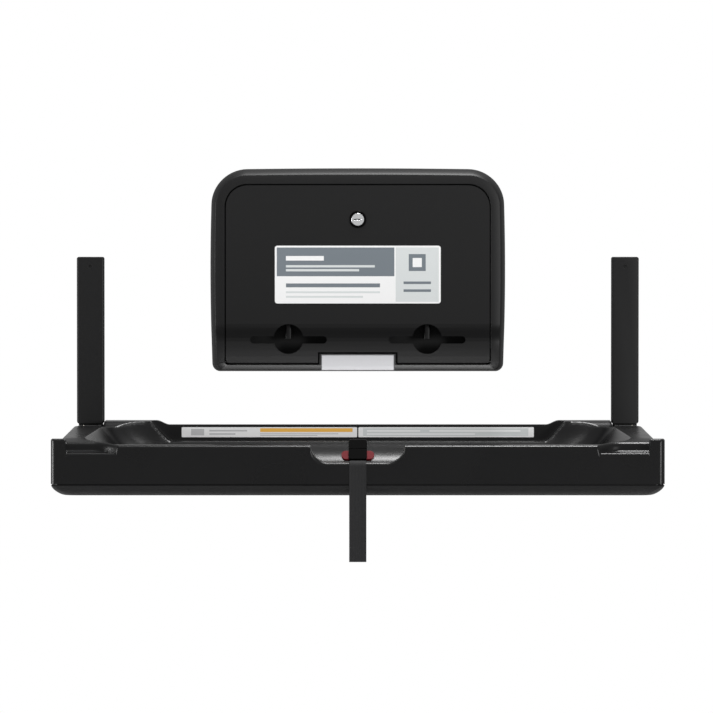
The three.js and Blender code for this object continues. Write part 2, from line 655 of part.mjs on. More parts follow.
// Wall rails, each a plate with two ears, its bolts, its cover and the hinge pin
function wallRail(side) {
  const middle = side * RAIL_MIDDLE;
  const [x0, x1] = [middle - RAIL_WIDTH / 2, middle + RAIL_WIDTH / 2];
  const plate = prismU(rounded(x0, x1, RAIL_LOW, RAIL_HIGH, COVER_CORNER, COVER_CORNER, 3), 0, RAIL_PLATE);
  const earOutline = [
    [RAIL_PLATE - 1, EAR_LOW],
    [RAIL_PLATE + EAR_PLATE, EAR_LOW],
    ...arc(AXIS_OUT, 0, EYE_RADIUS, -0.6 * QUARTER, QUARTER, 8),
    [RAIL_PLATE - 1, EYE_RADIUS],
  ];
  const ears = [EAR_INNER, EAR_OUTER - EAR_PLATE].map((a) =>
    prismX(earOutline, ...onSide(side, a, a + EAR_PLATE)));
  const tab = block(
    middle - TAB_WIDTH / 2, middle + TAB_WIDTH / 2, RAIL_PLATE - 1, COVER_OUT - COVER_SHEET - GAP,
    GRUB_HEIGHT - TAB_HEIGHT / 2, Math.min(GRUB_HEIGHT + TAB_HEIGHT / 2, RAIL_HIGH),
  );
  const holes = [
    ...BOLT_HEIGHTS.map((z) => rodU(middle, z, BOLT_SHANK + GAP, -1, RAIL_PLATE + 1, SMALL_ROUND)),
    rodU(middle, GRUB_HEIGHT, GRUB_RADIUS + GAP, COVER_OUT - GRUB_LENGTH - 2, COVER_OUT, SMALL_ROUND),
    rodX(AXIS_OUT, 0, PIN_RADIUS + GAP, ...onSide(side, EAR_INNER - 1, EAR_OUTER + 1)),
  ];
  return joined(plate, ...ears, tab).subtract(joined(...holes));
}

function railCover(side) {
  const middle = side * RAIL_MIDDLE;
  const [x0, x1] = [middle - COVER_WIDTH / 2, middle + COVER_WIDTH / 2];
  const plan = rounded(x0, x1, -CUT, COVER_OUT, COVER_EDGE, COVER_EDGE, 4);
  const front = rounded(x0, x1, COVER_LOW, COVER_HIGH, COVER_CORNER, COVER_EDGE, 4);
  const shell = prismZ(plan, COVER_LOW, COVER_HIGH).intersect(prismU(front, GAP, COVER_OUT + 1));
  const hollow = block(
    x0 + COVER_SHEET, x1 - COVER_SHEET, -1, COVER_OUT - COVER_SHEET, COVER_LOW - 1, COVER_HIGH - COVER_SHEET,
  );
  const hole = rodU(middle, GRUB_HEIGHT, GRUB_RADIUS + GAP, COVER_OUT - CUT, COVER_OUT + 1, SMALL_ROUND);
  return shell.subtract(hollow).subtract(hole);
}

for (const [name, side] of SIDES) {
  const middle = side * RAIL_MIDDLE;
  part(`wall_rail_${name}`, wallRail(side), BLACK_STEEL);
  part(`rail_cover_${name}`, railCover(side), BLACK_STEEL);
  const grubTip = COVER_OUT - 1;
  part(
    `cover_screw_${name}`,
    rodU(middle, GRUB_HEIGHT, GRUB_RADIUS, grubTip - GRUB_LENGTH, grubTip, SMALL_ROUND),
    BLACK_STEEL,
  );
  BOLT_HEIGHTS.forEach((z, i) => {
    const seat = RAIL_PLATE + GAP;
    const shank = rodU(middle, z, BOLT_SHANK, GAP, seat + 1, SMALL_ROUND);
    const head = rodU(middle, z, BOLT_HEAD, seat, seat + BOLT_HEAD_HEIGHT, 6);
    part(`rail_bolt_${name}_${i + 1}`, shank.add(head), BARE_STEEL);
  });
  const pinHead = EAR_OUTER + GAP;
  const pin = rodX(AXIS_OUT, 0, PIN_RADIUS, ...onSide(side, DAMPER_OUTER - PIN_REACH, pinHead + 1));
  const head = rodX(AXIS_OUT, 0, PIN_HEAD_RADIUS, ...onSide(side, pinHead, pinHead + PIN_HEAD));
  part(`hinge_pin_${name}`, pin.add(head), BARE_STEEL);
}

// Hinge arms, their bushes, stop pads, screws and dampers, and the tube between the arms
function hingeArm(side) {
  const span = onSide(side, ARM_INNER, ARM_OUTER);
  const heelRear = RAIL_PLATE + PAD_THICKNESS + 2 * GAP;
  const knuckle = rodX(AXIS_OUT, 0, EYE_RADIUS, ...span);
  const leaf = prismX([
    [AXIS_OUT, LEAF_LOW], [LEAF_REACH, LEAF_LOW], [LEAF_REACH, LEAF_TOP], [AXIS_OUT, LEAF_TOP],
  ], ...span);
  const heel = prismX([
    [heelRear, HEEL_LOW], [heelRear + HEEL_THICKNESS, HEEL_LOW],
    [AXIS_OUT + EYE_RADIUS * 0.8, -EYE_RADIUS * 0.5], [AXIS_OUT - EYE_RADIUS * 0.8, -EYE_RADIUS * 0.5],
    [heelRear, HEEL_HIGH],
  ], ...span);
  const web = prismX([
    ...arc(TUBE_OUT, TUBE_HEIGHT, TUBE_LUG, 2 * QUARTER, 4 * QUARTER, 8),
    [TUBE_OUT + TUBE_LUG + 4, LEAF_LOW + 1], [TUBE_OUT - TUBE_LUG + 2, LEAF_LOW + 1],
  ], ...span);
  const holes = [
    rodX(AXIS_OUT, 0, BUSH_RADIUS + GAP, ...onSide(side, ARM_INNER - 1, ARM_OUTER + 1)),
    ...ARM_SCREW_OUT.map((u) =>
      rodZ(side * RAIL_MIDDLE, u, ARM_SCREW_RADIUS + GAP, LEAF_LOW - 1, LEAF_TOP + 1, SMALL_ROUND)),
  ];
  return joined(knuckle, leaf, heel, web).subtract(joined(...holes));
}

for (const [name, side] of SIDES) {
  part(`hinge_arm_${name}`, hingeArm(side), BLACK_STEEL);
  const padRear = RAIL_PLATE + GAP;
  part(
    `stop_pad_${name}`,
    prismU(
      rounded(side * RAIL_MIDDLE - ARM_WIDTH / 2, side * RAIL_MIDDLE + ARM_WIDTH / 2, HEEL_LOW, HEEL_HIGH, 3, 3, 3),
      padRear, padRear + PAD_THICKNESS,
    ),
    RUBBER,
  );
  const bush = rodX(AXIS_OUT, 0, BUSH_RADIUS, ...onSide(side, ARM_INNER, ARM_OUTER));
  const flange = rodX(
    AXIS_OUT, 0, BUSH_FLANGE_RADIUS, ...onSide(side, ARM_OUTER + GAP / 2, ARM_OUTER + GAP / 2 + BUSH_FLANGE),
  );
  const neck = rodX(AXIS_OUT, 0, BUSH_RADIUS, ...onSide(side, ARM_OUTER - 1, ARM_OUTER + GAP));
  const bore = rodX(AXIS_OUT, 0, PIN_RADIUS + GAP, ...onSide(side, ARM_INNER - 1, ARM_OUTER + CUT));
  part(`hinge_bush_${name}`, joined(bush, flange, neck).subtract(bore), NYLON);
  const damperInner = DAMPER_OUTER - DAMPER_LENGTH;
  const saddleMiddle = (damperInner + DAMPER_OUTER) / 2;
  const barrel = rodX(AXIS_OUT, 0, DAMPER_RADIUS, ...onSide(side, damperInner, DAMPER_OUTER));
  const saddle = block(
    ...onSide(side, saddleMiddle - SADDLE_LENGTH / 2, saddleMiddle + SADDLE_LENGTH / 2),
    AXIS_OUT - SADDLE_WIDTH / 2, AXIS_OUT + SADDLE_WIDTH / 2,
    0, SHELF_TOP + HOUSING_RISE - TRAY_WALL - GAP,
  );
  const socket = rodX(
    AXIS_OUT, 0, PIN_RADIUS + GAP, ...onSide(side, DAMPER_OUTER - PIN_REACH - GAP, DAMPER_OUTER + 1),
  );
  part(`damper_${name}`, barrel.add(saddle).subtract(socket), BLACK_STEEL);
}

for (const { name, x, u } of armScrews) {
  const seat = LEAF_LOW - GAP;
  const head = rodZ(x, u, ARM_SCREW_HEAD, seat - ARM_SCREW_HEAD_HEIGHT, seat, SMALL_ROUND);
  const shank = rodZ(x, u, ARM_SCREW_RADIUS, seat - 1, SHELF_TOP - TRAY_WALL - 1, SMALL_ROUND);
  part(name, head.add(shank), BARE_STEEL);
}

const tubeEnd = ARM_INNER - GAP;
part(
  'cross_tube',
  rodX(TUBE_OUT, TUBE_HEIGHT, TUBE_RADIUS, -tubeEnd, tubeEnd)
    .subtract(rodX(TUBE_OUT, TUBE_HEIGHT, TUBE_BORE, -tubeEnd - 1, tubeEnd + 1)),
  BLACK_STEEL,
);

// Safety strap: flat webbing carried along a line of (u, z) points
function band(line, below, above, width) {
  const normals = line.map((_, i) => {
    const [from, to] = [line[Math.max(i - 1, 0)], line[Math.min(i + 1, line.length - 1)]];
    const length = Math.hypot(to[0] - from[0], to[1] - from[1]);
    return [-(to[1] - from[1]) / length, (to[0] - from[0]) / length];
  });
  const offset = (by) => line.map(([u, z], i) => [u + normals[i][0] * by, z + normals[i][1] * by]);
  return prismX([...offset(below), ...offset(above).reverse()], -width / 2, width / 2);
}

const onTray = (u) => [u, trayHeight(0, u)];
const strapUnder = GAP + 0.3;
const anchorLine = [ANCHOR_REAR, ...bandStations.filter((u) => u > ANCHOR_REAR && u < ANCHOR_FRONT), ANCHOR_FRONT];
part('strap_anchor', band(anchorLine.map(onTray), strapUnder + 0.5, ANCHOR_HEIGHT, ANCHOR_WIDTH), BUCKLE_PLASTIC);

// The buckle stands on the notch's floor and leans back: s runs up it, n out of its front face.
const leanUp = [-Math.sin(BUCKLE_LEAN), Math.cos(BUCKLE_LEAN)];
const leanOut = [Math.cos(BUCKLE_LEAN), Math.sin(BUCKLE_LEAN)];
const buckleFoot = [BED_FRONT - BUCKLE_FOOT_INSET, NOTCH_LOW + BUCKLE_FOOT_RISE];
const onBuckle = (s, n) => [
  buckleFoot[0] + s * leanUp[0] + n * leanOut[0],
  buckleFoot[1] + s * leanUp[1] + n * leanOut[1],
];
function buckleBlock(x0, x1, s0, s1, n0, n1) {
  return prismX([onBuckle(s0, n0), onBuckle(s0, n1), onBuckle(s1, n1), onBuckle(s1, n0)], x0, x1);
}
// A buckle piece seen from its front, with round corners
function bucklePlate(outline, n0, n1) {
  const across = ALONG_X;
  const up = new THREE.Vector3(0, -leanUp[0], leanUp[1]);
  const [u, z] = onBuckle(0, n0);
  return prism(outline, across, up, new THREE.Vector3(0, -u, z), n1 - n0);
}

const buckleHalf = BUCKLE_WIDTH / 2;
const halfThick = BUCKLE_THICKNESS / 2;
const tabHalf = TAB_THICKNESS / 2;
const socketFoot = PLUG_LENGTH + GAP;
const buckleTop = socketFoot + SOCKET_LENGTH;
const tongueTop = PLUG_LENGTH + TONGUE_LENGTH;

function bucklePlug() {
  const body = bucklePlate(rounded(-buckleHalf, buckleHalf, 0, PLUG_LENGTH, 2, 1, 3), -halfThick, halfThick);
  const tongue = buckleBlock(
    -TONGUE_WIDTH / 2, TONGUE_WIDTH / 2, PLUG_LENGTH - 1, tongueTop, -TONGUE_THICKNESS / 2, TONGUE_THICKNESS / 2,
  );
  const pocketInner = TAB_INNER - TAB_TRAVEL - GAP;
  const tabPockets = SIDES.map(([, side]) => buckleBlock(
    ...onSide(side, pocketInner, buckleHalf + 1),
    TAB_LOW - GAP, TAB_LOW + TAB_LENGTH + GAP, -tabHalf - GAP, tabHalf + GAP,
  ));
  return body.add(tongue).subtract(joined(...tabPockets));
}

function buckleSocket() {
  const body = bucklePlate(rounded(-buckleHalf, buckleHalf, socketFoot, buckleTop, 1, 4, 4), -halfThick, halfThick);
  const mouth = buckleBlock(
    -TONGUE_WIDTH / 2 - GAP, TONGUE_WIDTH / 2 + GAP, socketFoot - 1, tongueTop + GAP,
    -TONGUE_THICKNESS / 2 - GAP, TONGUE_THICKNESS / 2 + GAP,
  );
  return body.subtract(mouth);
}

part('buckle_plug', bucklePlug(), BUCKLE_PLASTIC);
part('buckle_socket', buckleSocket(), BUCKLE_PLASTIC);
for (const [name, side] of SIDES) {
  const [x0, x1] = onSide(side, TAB_INNER, TAB_REACH);
  const [t0, t1] = [TAB_LOW, TAB_LOW + TAB_LENGTH];
  const curved = [
    ...arc(TAB_REACH - TAB_ROUND, t0 + TAB_ROUND, TAB_ROUND, -QUARTER, 0, 4),
    ...arc(TAB_REACH - TAB_ROUND, t1 - TAB_ROUND, TAB_ROUND, 0, QUARTER, 4),
  ];
  const inner = side > 0 ? x0 : -x1;
  const outline = [[inner, t0], ...curved, [inner, t1]].map(([x, s]) => [side * x, s]);
  part(`buckle_tab_${name}`, bucklePlate(side > 0 ? outline : outline.reverse(), -tabHalf, tabHalf), RED_PLASTIC);
}

const liftAt = BED_FRONT - STRAP_LIFT;
const strapStart = ANCHOR_FRONT + GAP + 0.2;
const restLine = [strapStart, ...bandStations.filter((u) => u > strapStart && u < liftAt)].map(onTray);
const topOfBuckle = onBuckle(buckleTop + GAP, 0);
const liftEnd = restLine.at(-1);
const arch = new THREE.CubicBezierCurve(
  new THREE.Vector2(...liftEnd),
  new THREE.Vector2(mix(liftEnd[0], topOfBuckle[0], 0.75), liftEnd[1]),
  new THREE.Vector2(topOfBuckle[0] + 10 * leanUp[0] - 6, topOfBuckle[1] + 10 * leanUp[1] - 4),
  new THREE.Vector2(topOfBuckle[0], topOfBuckle[1]),
);
const archLine = arch.getPoints(14).slice(1).map((p) => [p.x, p.y]);
const strapHeight = strapUnder + WEBBING;
part('strap_rear', band([...restLine, ...archLine], strapUnder, strapHeight, WEBBING_WIDTH), WEBBING_CLOTH);

// The front strap leaves the buckle's foot, crosses the notch's floor and turns down the front face.
const overRadius = WEBBING / 2 + GAP + 0.1;
const overHeight = NOTCH_LOW + GAP + WEBBING / 2;
const footEnd = onBuckle(-GAP - WEBBING / 3, 0);
const frontLine = [
  footEnd,
  [footEnd[0] + 4, mix(footEnd[1], overHeight, 0.8)],
  [footEnd[0] + 8, overHeight],
  ...arc(TAIL_OUT - overRadius, overHeight - overRadius, overRadius, QUARTER, 0, 5),
  [TAIL_OUT, FOLD_HEIGHT + WEBBING / 2 + GAP],
];
part('strap_front', band(frontLine, -WEBBING / 2, WEBBING / 2, WEBBING_WIDTH), WEBBING_CLOTH);
part(
  'strap_tail',
  prismX([
    [TAIL_OUT - WEBBING / 2, TAIL_END], [TAIL_OUT + WEBBING / 2, TAIL_END],
    ...arc(TAIL_OUT, FOLD_HEIGHT, WEBBING / 2, 0, 2 * QUARTER, 6),
  ], -WEBBING_WIDTH / 2, WEBBING_WIDTH / 2),
  WEBBING_CLOTH,
);

// Dispenser: the distance of its front face from the wall at each height
function faceOut(z) {
  if (z >= VALLEY_HEIGHT) return mix(VALLEY_OUT, FACE_OUT, smooth((z - VALLEY_HEIGHT) / (FACE_LOW - VALLEY_HEIGHT)));
  const down = (VALLEY_HEIGHT - z) / (VALLEY_HEIGHT - DISPENSER_LOW);
  return VALLEY_OUT + (LIP_OUT - VALLEY_OUT) * down ** FLARE_POWER;
}
const faceStations = [
  ...steps(DISPENSER_LOW, VALLEY_HEIGHT, 6).slice(1),
  ...steps(VALLEY_HEIGHT, FACE_LOW, 5),
  FACE_LOW,
];

// A ring round the dispenser, with a point at every face station of both sides
function dispenserRing(half, z0, z1, foot, top, depth, bow) {
  const sideStations = [
    ...faceStations.filter((z) => z > DISPENSER_LOW + 1.5 * DISPENSER_FOOT_RADIUS),
    mix(FACE_LOW, DISPENSER_HIGH - DISPENSER_TOP_RADIUS, 0.5),
  ];
  const across = [-0.5, 0, 0.5];
  const outline = [
    ...across.map((t) => [t * 2 * (half - foot), z0]),
    ...arc(half - foot, z0 + foot, foot, -QUARTER, 0, 4),
    ...sideStations.map((z) => [half, z]),
    ...arc(half - top, z1 - top, top, 0, QUARTER, 8),
    ...across.map((t) => [-t * 2 * (half - top) * 0.9, z1]),
    ...arc(-half + top, z1 - top, top, QUARTER, 2 * QUARTER, 8),
    ...sideStations.map((z) => [-half, z]).reverse(),
    ...arc(-half + foot, z0 + foot, foot, 2 * QUARTER, 3 * QUARTER, 4),
  ];
  const middle = (DISPENSER_LOW + DISPENSER_HIGH) / 2;
  const reach = (DISPENSER_HIGH - DISPENSER_LOW) / 2;
  return outline.map(([x, z]) => {
    const t = (z - middle) / reach;
    const drawn = x * (1 - (bow * SIDE_BOW * t * t) / (DISPENSER_WIDTH / 2));
    const sunk = z - bow * TOP_BOW * Math.max(t, 0) * (x / half) ** 2;
    return [drawn, -depth(z), sunk];
  });
}

function bodyRing(inset, depth) {
  const [side, top, foot] = [EDGE_SIDE * inset, EDGE_TOP * inset, EDGE_FOOT * inset];
  return dispenserRing(
    DISPENSER_WIDTH / 2 - side, DISPENSER_LOW + foot, DISPENSER_HIGH - top,
    DISPENSER_FOOT_RADIUS - foot, DISPENSER_TOP_RADIUS - side, depth, 1,
  );
}
const wallInset = (depth) => dispenserRing(
  DISPENSER_WIDTH / 2 - DISPENSER_WALL - SIDE_BOW, DISPENSER_LOW + DISPENSER_WALL,
  DISPENSER_HIGH - DISPENSER_WALL - TOP_BOW, DISPENSER_FOOT_RADIUS - DISPENSER_WALL,
  DISPENSER_TOP_RADIUS - DISPENSER_WALL, depth, 0,
);
const openingRing = (depth) => dispenserRing(
  OPENING_HALF, OPENING_LOW, OPENING_HIGH, DOOR_FOOT_RADIUS * 0.6, DOOR_TOP_RADIUS + DOOR_SEAM, depth, 0,
);

// A slab between two distances behind the dispenser's face, from one height to another
function faceSlab(back, front, z0, z1, half, bevel = 0) {
  const heights = [z0, ...faceStations.filter((z) => z > z0 + 1 && z < z1 - 1), z1];
  const outer = heights.map((z) => [faceOut(z) + front, z]);
  if (bevel) {
    outer.splice(0, 1, [faceOut(z0) + front - bevel, z0], [faceOut(z0 + bevel) + front, z0 + bevel]);
  }
  const inner = heights.map((z) => [faceOut(z) + back, z]).reverse();
  return prismX([...outer, ...inner], -half, half);
}

const housingScrews = SIDES.flatMap(([name, side]) =>
  SCREW_HEIGHTS.map((z, i) => ({ name: `housing_screw_${name}_${i + 1}`, x: side * SCREW_SPREAD, z })));

function dispenserHousing() {
  const shell = loft([
    bodyRing(0, () => 0),
    bodyRing(0, (z) => faceOut(z) - 2 * EDGE_TOP),
    bodyRing(0.13, (z) => faceOut(z) - EDGE_TOP * 0.8),
    bodyRing(0.45, (z) => faceOut(z) - EDGE_TOP * 0.28),
    bodyRing(1, faceOut),
    openingRing(faceOut),
    openingRing((z) => faceOut(z) - FRAME_DEPTH),
    wallInset((z) => faceOut(z) - FRAME_DEPTH),
    wallInset(() => BACK_PLATE),
  ]);
  const halfWall = DISPENSER_WALL / 2;
  const divider = block(
    -DIVIDER_WIDTH / 2, DIVIDER_WIDTH / 2, BACK_PLATE - 1, DIVIDER_DEPTH,
    DISPENSER_LOW + halfWall, DISPENSER_HIGH - TOP_BOW - halfWall,
  );
  const ribs = SIDES.map(([, side]) => {
    const x = side * SLOT_SPREAD;
    return prismZ(
      rounded(x - FINGER_RIB / 2, x + FINGER_RIB / 2, BACK_PLATE - 1, FINGER_RIB_DEPTH, 0.5, FINGER_RIB / 2 - 0.1, 4),
      FINGER_HEIGHT, FINGER_HEIGHT + FINGER_RIB_HEIGHT,
    );
  });
  const tab = faceSlab(-FRAME_DEPTH, -BADGE_SINK, OPENING_LOW - 2, BADGE_TAB_HIGH, BADGE_TAB_WIDTH / 2);
  const badgeSeat = faceSlab(-BADGE_SINK, CUT, DISPENSER_LOW - 1, BADGE_HIGH + GAP, BADGE_WIDTH / 2 + GAP);
  const holes = [
    ...housingScrews.map(({ x, z }) => rodU(x, z, SCREW_SHANK + GAP, -1, BACK_PLATE + 1, SMALL_ROUND)),
    ...SIDES.map(([, side]) => rodX(
      DOOR_AXIS_OUT, DOOR_AXIS_HEIGHT, DOOR_PIN_RADIUS + GAP,
      ...onSide(side, OPENING_HALF - DOOR_FOOT_RADIUS, PIN_TIP + GAP), SMALL_ROUND,
    )),
  ];
  return joined(shell, divider, ...ribs, tab).subtract(joined(badgeSeat, ...holes));
}

part('dispenser_housing', dispenserHousing(), SATIN_PLASTIC);
part('badge_plate', faceSlab(
  GAP - BADGE_SINK, GAP - BADGE_SINK + BADGE_PLATE, BADGE_LOW, BADGE_HIGH, BADGE_WIDTH / 2,
), BADGE_METAL);
for (const { name, x, z } of housingScrews) {
  const seat = BACK_PLATE + GAP;
  const head = rodU(x, z, SCREW_HEAD, seat, seat + SCREW_HEAD_HEIGHT, SMALL_ROUND);
  part(name, head.add(rodU(x, z, SCREW_SHANK, GAP, seat + 1, SMALL_ROUND)), BARE_STEEL);
}

// Dispenser door: a panel with a flange all round, cut by the slots, the finger holes and the lock
function dispenserDoor() {
  const half = DOOR_WIDTH / 2;
  const outline = (inset) => rounded(
    -half + inset, half - inset, DOOR_LOW + inset, DOOR_HIGH - inset,
    DOOR_FOOT_RADIUS - inset, DOOR_TOP_RADIUS - inset, 7,
  );
  const inset = DOOR_FLANGE;
  const outer = prismU(outline(0), 0, LIP_OUT + CUT)
    .intersect(faceSlab(-DOOR_DEPTH, 0, DOOR_LOW, DOOR_HIGH, half, DOOR_FOOT_BEVEL));
  const hollow = prismU(outline(inset), 0, LIP_OUT + CUT).intersect(
    faceSlab(-DOOR_DEPTH - 1, -DOOR_SHEET, DOOR_LOW + DOOR_FOOT_BEVEL, DOOR_HIGH - inset, half - inset),
  );
  const badgeHalf = BADGE_TAB_WIDTH / 2 + NOTCH_CLEAR;
  const slotHalf = SLOT_LENGTH / 2;
  const cuts = [
    block(-badgeHalf, badgeHalf, 0, LIP_OUT + CUT, DISPENSER_LOW - 1, BADGE_TAB_HIGH + NOTCH_CLEAR),
    rodU(0, LOCK_HEIGHT, LOCK_BARREL + GAP, 0, LIP_OUT + CUT),
    ...SIDES.flatMap(([, side]) => [
      prismU(rounded(
        side * SLOT_SPREAD - slotHalf, side * SLOT_SPREAD + slotHalf,
        SLOT_HEIGHT - SLOT_WIDTH / 2, SLOT_HEIGHT + SLOT_WIDTH / 2,
        SLOT_WIDTH / 2 - 0.1, SLOT_WIDTH / 2 - 0.1, 5,
      ), 0, LIP_OUT + CUT),
      rodU(side * SLOT_SPREAD, FINGER_HEIGHT, FINGER_RADIUS, 0, LIP_OUT + CUT, 24),
      rodX(
        DOOR_AXIS_OUT, DOOR_AXIS_HEIGHT, DOOR_PIN_RADIUS + GAP, ...onSide(side, PIN_ROOT - 1, half + 1), SMALL_ROUND,
      ),
    ]),
  ];
  const bossOuter = half - DOOR_BOSS_INSET;
  const bossBlock = faceSlab(-DOOR_DEPTH, -1, DOOR_LOW + 1, DOOR_LOW + DOOR_BOSS_HEIGHT, half);
  const bosses = SIDES.map(([, side]) => bossBlock.intersect(block(
    ...onSide(side, bossOuter - DOOR_BOSS_WIDTH, bossOuter), 0, LIP_OUT + CUT, DISPENSER_LOW, DISPENSER_HIGH,
  )));
  return joined(outer.subtract(hollow), ...bosses).subtract(joined(...cuts));
}

part('dispenser_door', dispenserDoor(), SATIN_PLASTIC);
for (const [name, side] of SIDES) {
  part(
    `door_pin_${name}`,
    rodX(DOOR_AXIS_OUT, DOOR_AXIS_HEIGHT, DOOR_PIN_RADIUS, ...onSide(side, PIN_ROOT, PIN_TIP), SMALL_ROUND),
    BLACK_STEEL,
  );
}

// Cam lock: a flanged barrel in the door, a nut behind the panel, and the plug with its cam
const lockRod = (radius, u0, u1, sides) => rodU(0, LOCK_HEIGHT, radius, u0, u1, sides);
const flangeBack = FACE_OUT + GAP;
const flangeFront = flangeBack + LOCK_FLANGE_HEIGHT;
const barrelBack = CAM_OUT + GAP;
const faceBack = flangeBack + GAP;
part(
  'lock_body',
  lockRod(LOCK_FLANGE, flangeBack, flangeFront)
    .add(lockRod(LOCK_BARREL, barrelBack, flangeBack + GAP))
    .subtract(lockRod(LOCK_FACE + GAP, flangeBack + GAP / 2, flangeFront + 1))
    .subtract(lockRod(LOCK_STEM + GAP, barrelBack - 1, flangeFront + 1)),
  BLACK_STEEL,
);
part(
  'lock_nut',
  lockRod(LOCK_NUT_RADIUS, DOOR_BACK - GAP - LOCK_NUT_HEIGHT, DOOR_BACK - GAP, 6)
    .subtract(lockRod(LOCK_BARREL + GAP, DOOR_BACK - CUT, DOOR_BACK + 1)),
  BARE_STEEL,
);
const lockFront = faceBack + LOCK_FACE_HEIGHT;
part(
  'lock_plug',
  lockRod(LOCK_FACE, faceBack, lockFront)
    .add(lockRod(LOCK_STEM, CAM_OUT + GAP, faceBack + 1))
    .subtract(block(
      -KEY_SLOT_LENGTH / 2, KEY_SLOT_LENGTH / 2, lockFront - KEY_SLOT_DEPTH, lockFront + 1,
      LOCK_HEIGHT - KEY_SLOT_WIDTH / 2, LOCK_HEIGHT + KEY_SLOT_WIDTH / 2,
    ))
    .subtract(lockRod(CAM_SCREW_RADIUS + GAP, CAM_OUT - 1, CAM_OUT + CAM_SCREW_LENGTH, SMALL_ROUND)),
  CHROME,
);
const camHalf = CAM_WIDTH / 2;
part(
  'lock_cam',
  prismU(
    rounded(-camHalf, CAM_REACH, LOCK_HEIGHT - camHalf, LOCK_HEIGHT + camHalf, camHalf - 0.1, camHalf - 0.1, 5),
    CAM_OUT - CAM_SHEET, CAM_OUT,
  ).subtract(lockRod(CAM_SCREW_RADIUS + GAP, CAM_OUT - CAM_SHEET - 1, CAM_OUT + 1, SMALL_ROUND)),
  BARE_STEEL,
);
const camScrewSeat = CAM_OUT - CAM_SHEET - GAP;
part(
  'cam_screw',
  lockRod(CAM_SCREW_HEAD, camScrewSeat - CAM_SCREW_HEAD_HEIGHT, camScrewSeat, SMALL_ROUND)
    .add(lockRod(CAM_SCREW_RADIUS, camScrewSeat - 1, CAM_OUT + CAM_SCREW_LENGTH - 1, SMALL_ROUND)),
  BARE_STEEL,
);

export default station;
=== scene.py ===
import json

import bmesh
import bpy
import numpy as np
from mathutils.geometry import tessellate_polygon
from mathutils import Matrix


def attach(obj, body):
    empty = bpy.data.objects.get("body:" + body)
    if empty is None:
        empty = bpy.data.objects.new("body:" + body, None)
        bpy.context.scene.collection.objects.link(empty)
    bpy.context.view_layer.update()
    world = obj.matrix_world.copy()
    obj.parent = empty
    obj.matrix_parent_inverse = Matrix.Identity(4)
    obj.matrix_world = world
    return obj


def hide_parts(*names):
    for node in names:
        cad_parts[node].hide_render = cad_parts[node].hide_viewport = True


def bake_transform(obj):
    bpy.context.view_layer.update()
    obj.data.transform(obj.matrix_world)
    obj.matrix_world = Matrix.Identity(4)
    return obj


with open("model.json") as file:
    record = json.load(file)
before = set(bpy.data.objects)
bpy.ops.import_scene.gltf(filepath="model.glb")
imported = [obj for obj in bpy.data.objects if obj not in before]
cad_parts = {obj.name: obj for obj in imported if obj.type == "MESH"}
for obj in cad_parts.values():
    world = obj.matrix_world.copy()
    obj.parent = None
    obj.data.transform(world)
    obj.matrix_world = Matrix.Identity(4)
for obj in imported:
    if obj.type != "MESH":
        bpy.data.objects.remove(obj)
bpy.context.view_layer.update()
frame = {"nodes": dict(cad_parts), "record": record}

# View
# A long lens far out from the wall, level with the liner dispenser and tipped down a little to the bed.
LENS_OUT, LENS_UP = 10.75, 0.4374
LENS_TIP = 1.727
view = bpy.data.objects.new("view", bpy.data.cameras.new("view"))
bpy.context.scene.collection.objects.link(view)
bpy.context.scene.camera = view
view.location = (0, -LENS_OUT, LENS_UP)
view.rotation_euler = (np.radians(90 - LENS_TIP), 0, 0)
view.data.sensor_width = 36
view.data.lens = 352.6
view.data.shift_x = -0.0018
view.data.clip_end = 60
bpy.context.scene.view_settings.view_transform = "Standard"


# Studio
# A white paper room with soft light from overhead, from the front and from both sides, and a pale floor
# under the station. What the lens sees of the paper is plain white.
ROOM_LIGHT = 0.44
FLOOR_LEVEL = -0.86
FLOOR_HALF, FLOOR_NEAR, FLOOR_FAR = 2, -2.6, 0.3


class Channel:
    """A value in a finish. Arithmetic on channels adds the math nodes that work it out."""

    def __init__(self, finish, socket):
        self.finish = finish
        self.socket = socket

    def math(self, operation, first, second):
        """One math node, fed with two channels or numbers."""
        return self.finish.node("ShaderNodeMath", {"operation": operation}, {0: first, 1: second})

    def __add__(self, other):
        return self.math("ADD", self, other)

    __radd__ = __add__

    def __sub__(self, other):
        return self.math("SUBTRACT", self, other)

    def __rsub__(self, other):
        return self.math("SUBTRACT", other, self)

    def __mul__(self, other):
        return self.math("MULTIPLY", self, other)

    __rmul__ = __mul__

    def __truediv__(self, other):
        return self.math("DIVIDE", self, other)

    def __mod__(self, other):
        return self.math("FLOORED_MODULO", self, other)

    def __abs__(self):
        return self.math("ABSOLUTE", self, 0)

    def __lt__(self, other):
        return self.math("LESS_THAN", self, other)

    def __gt__(self, other):
        return self.math("GREATER_THAN", self, other)


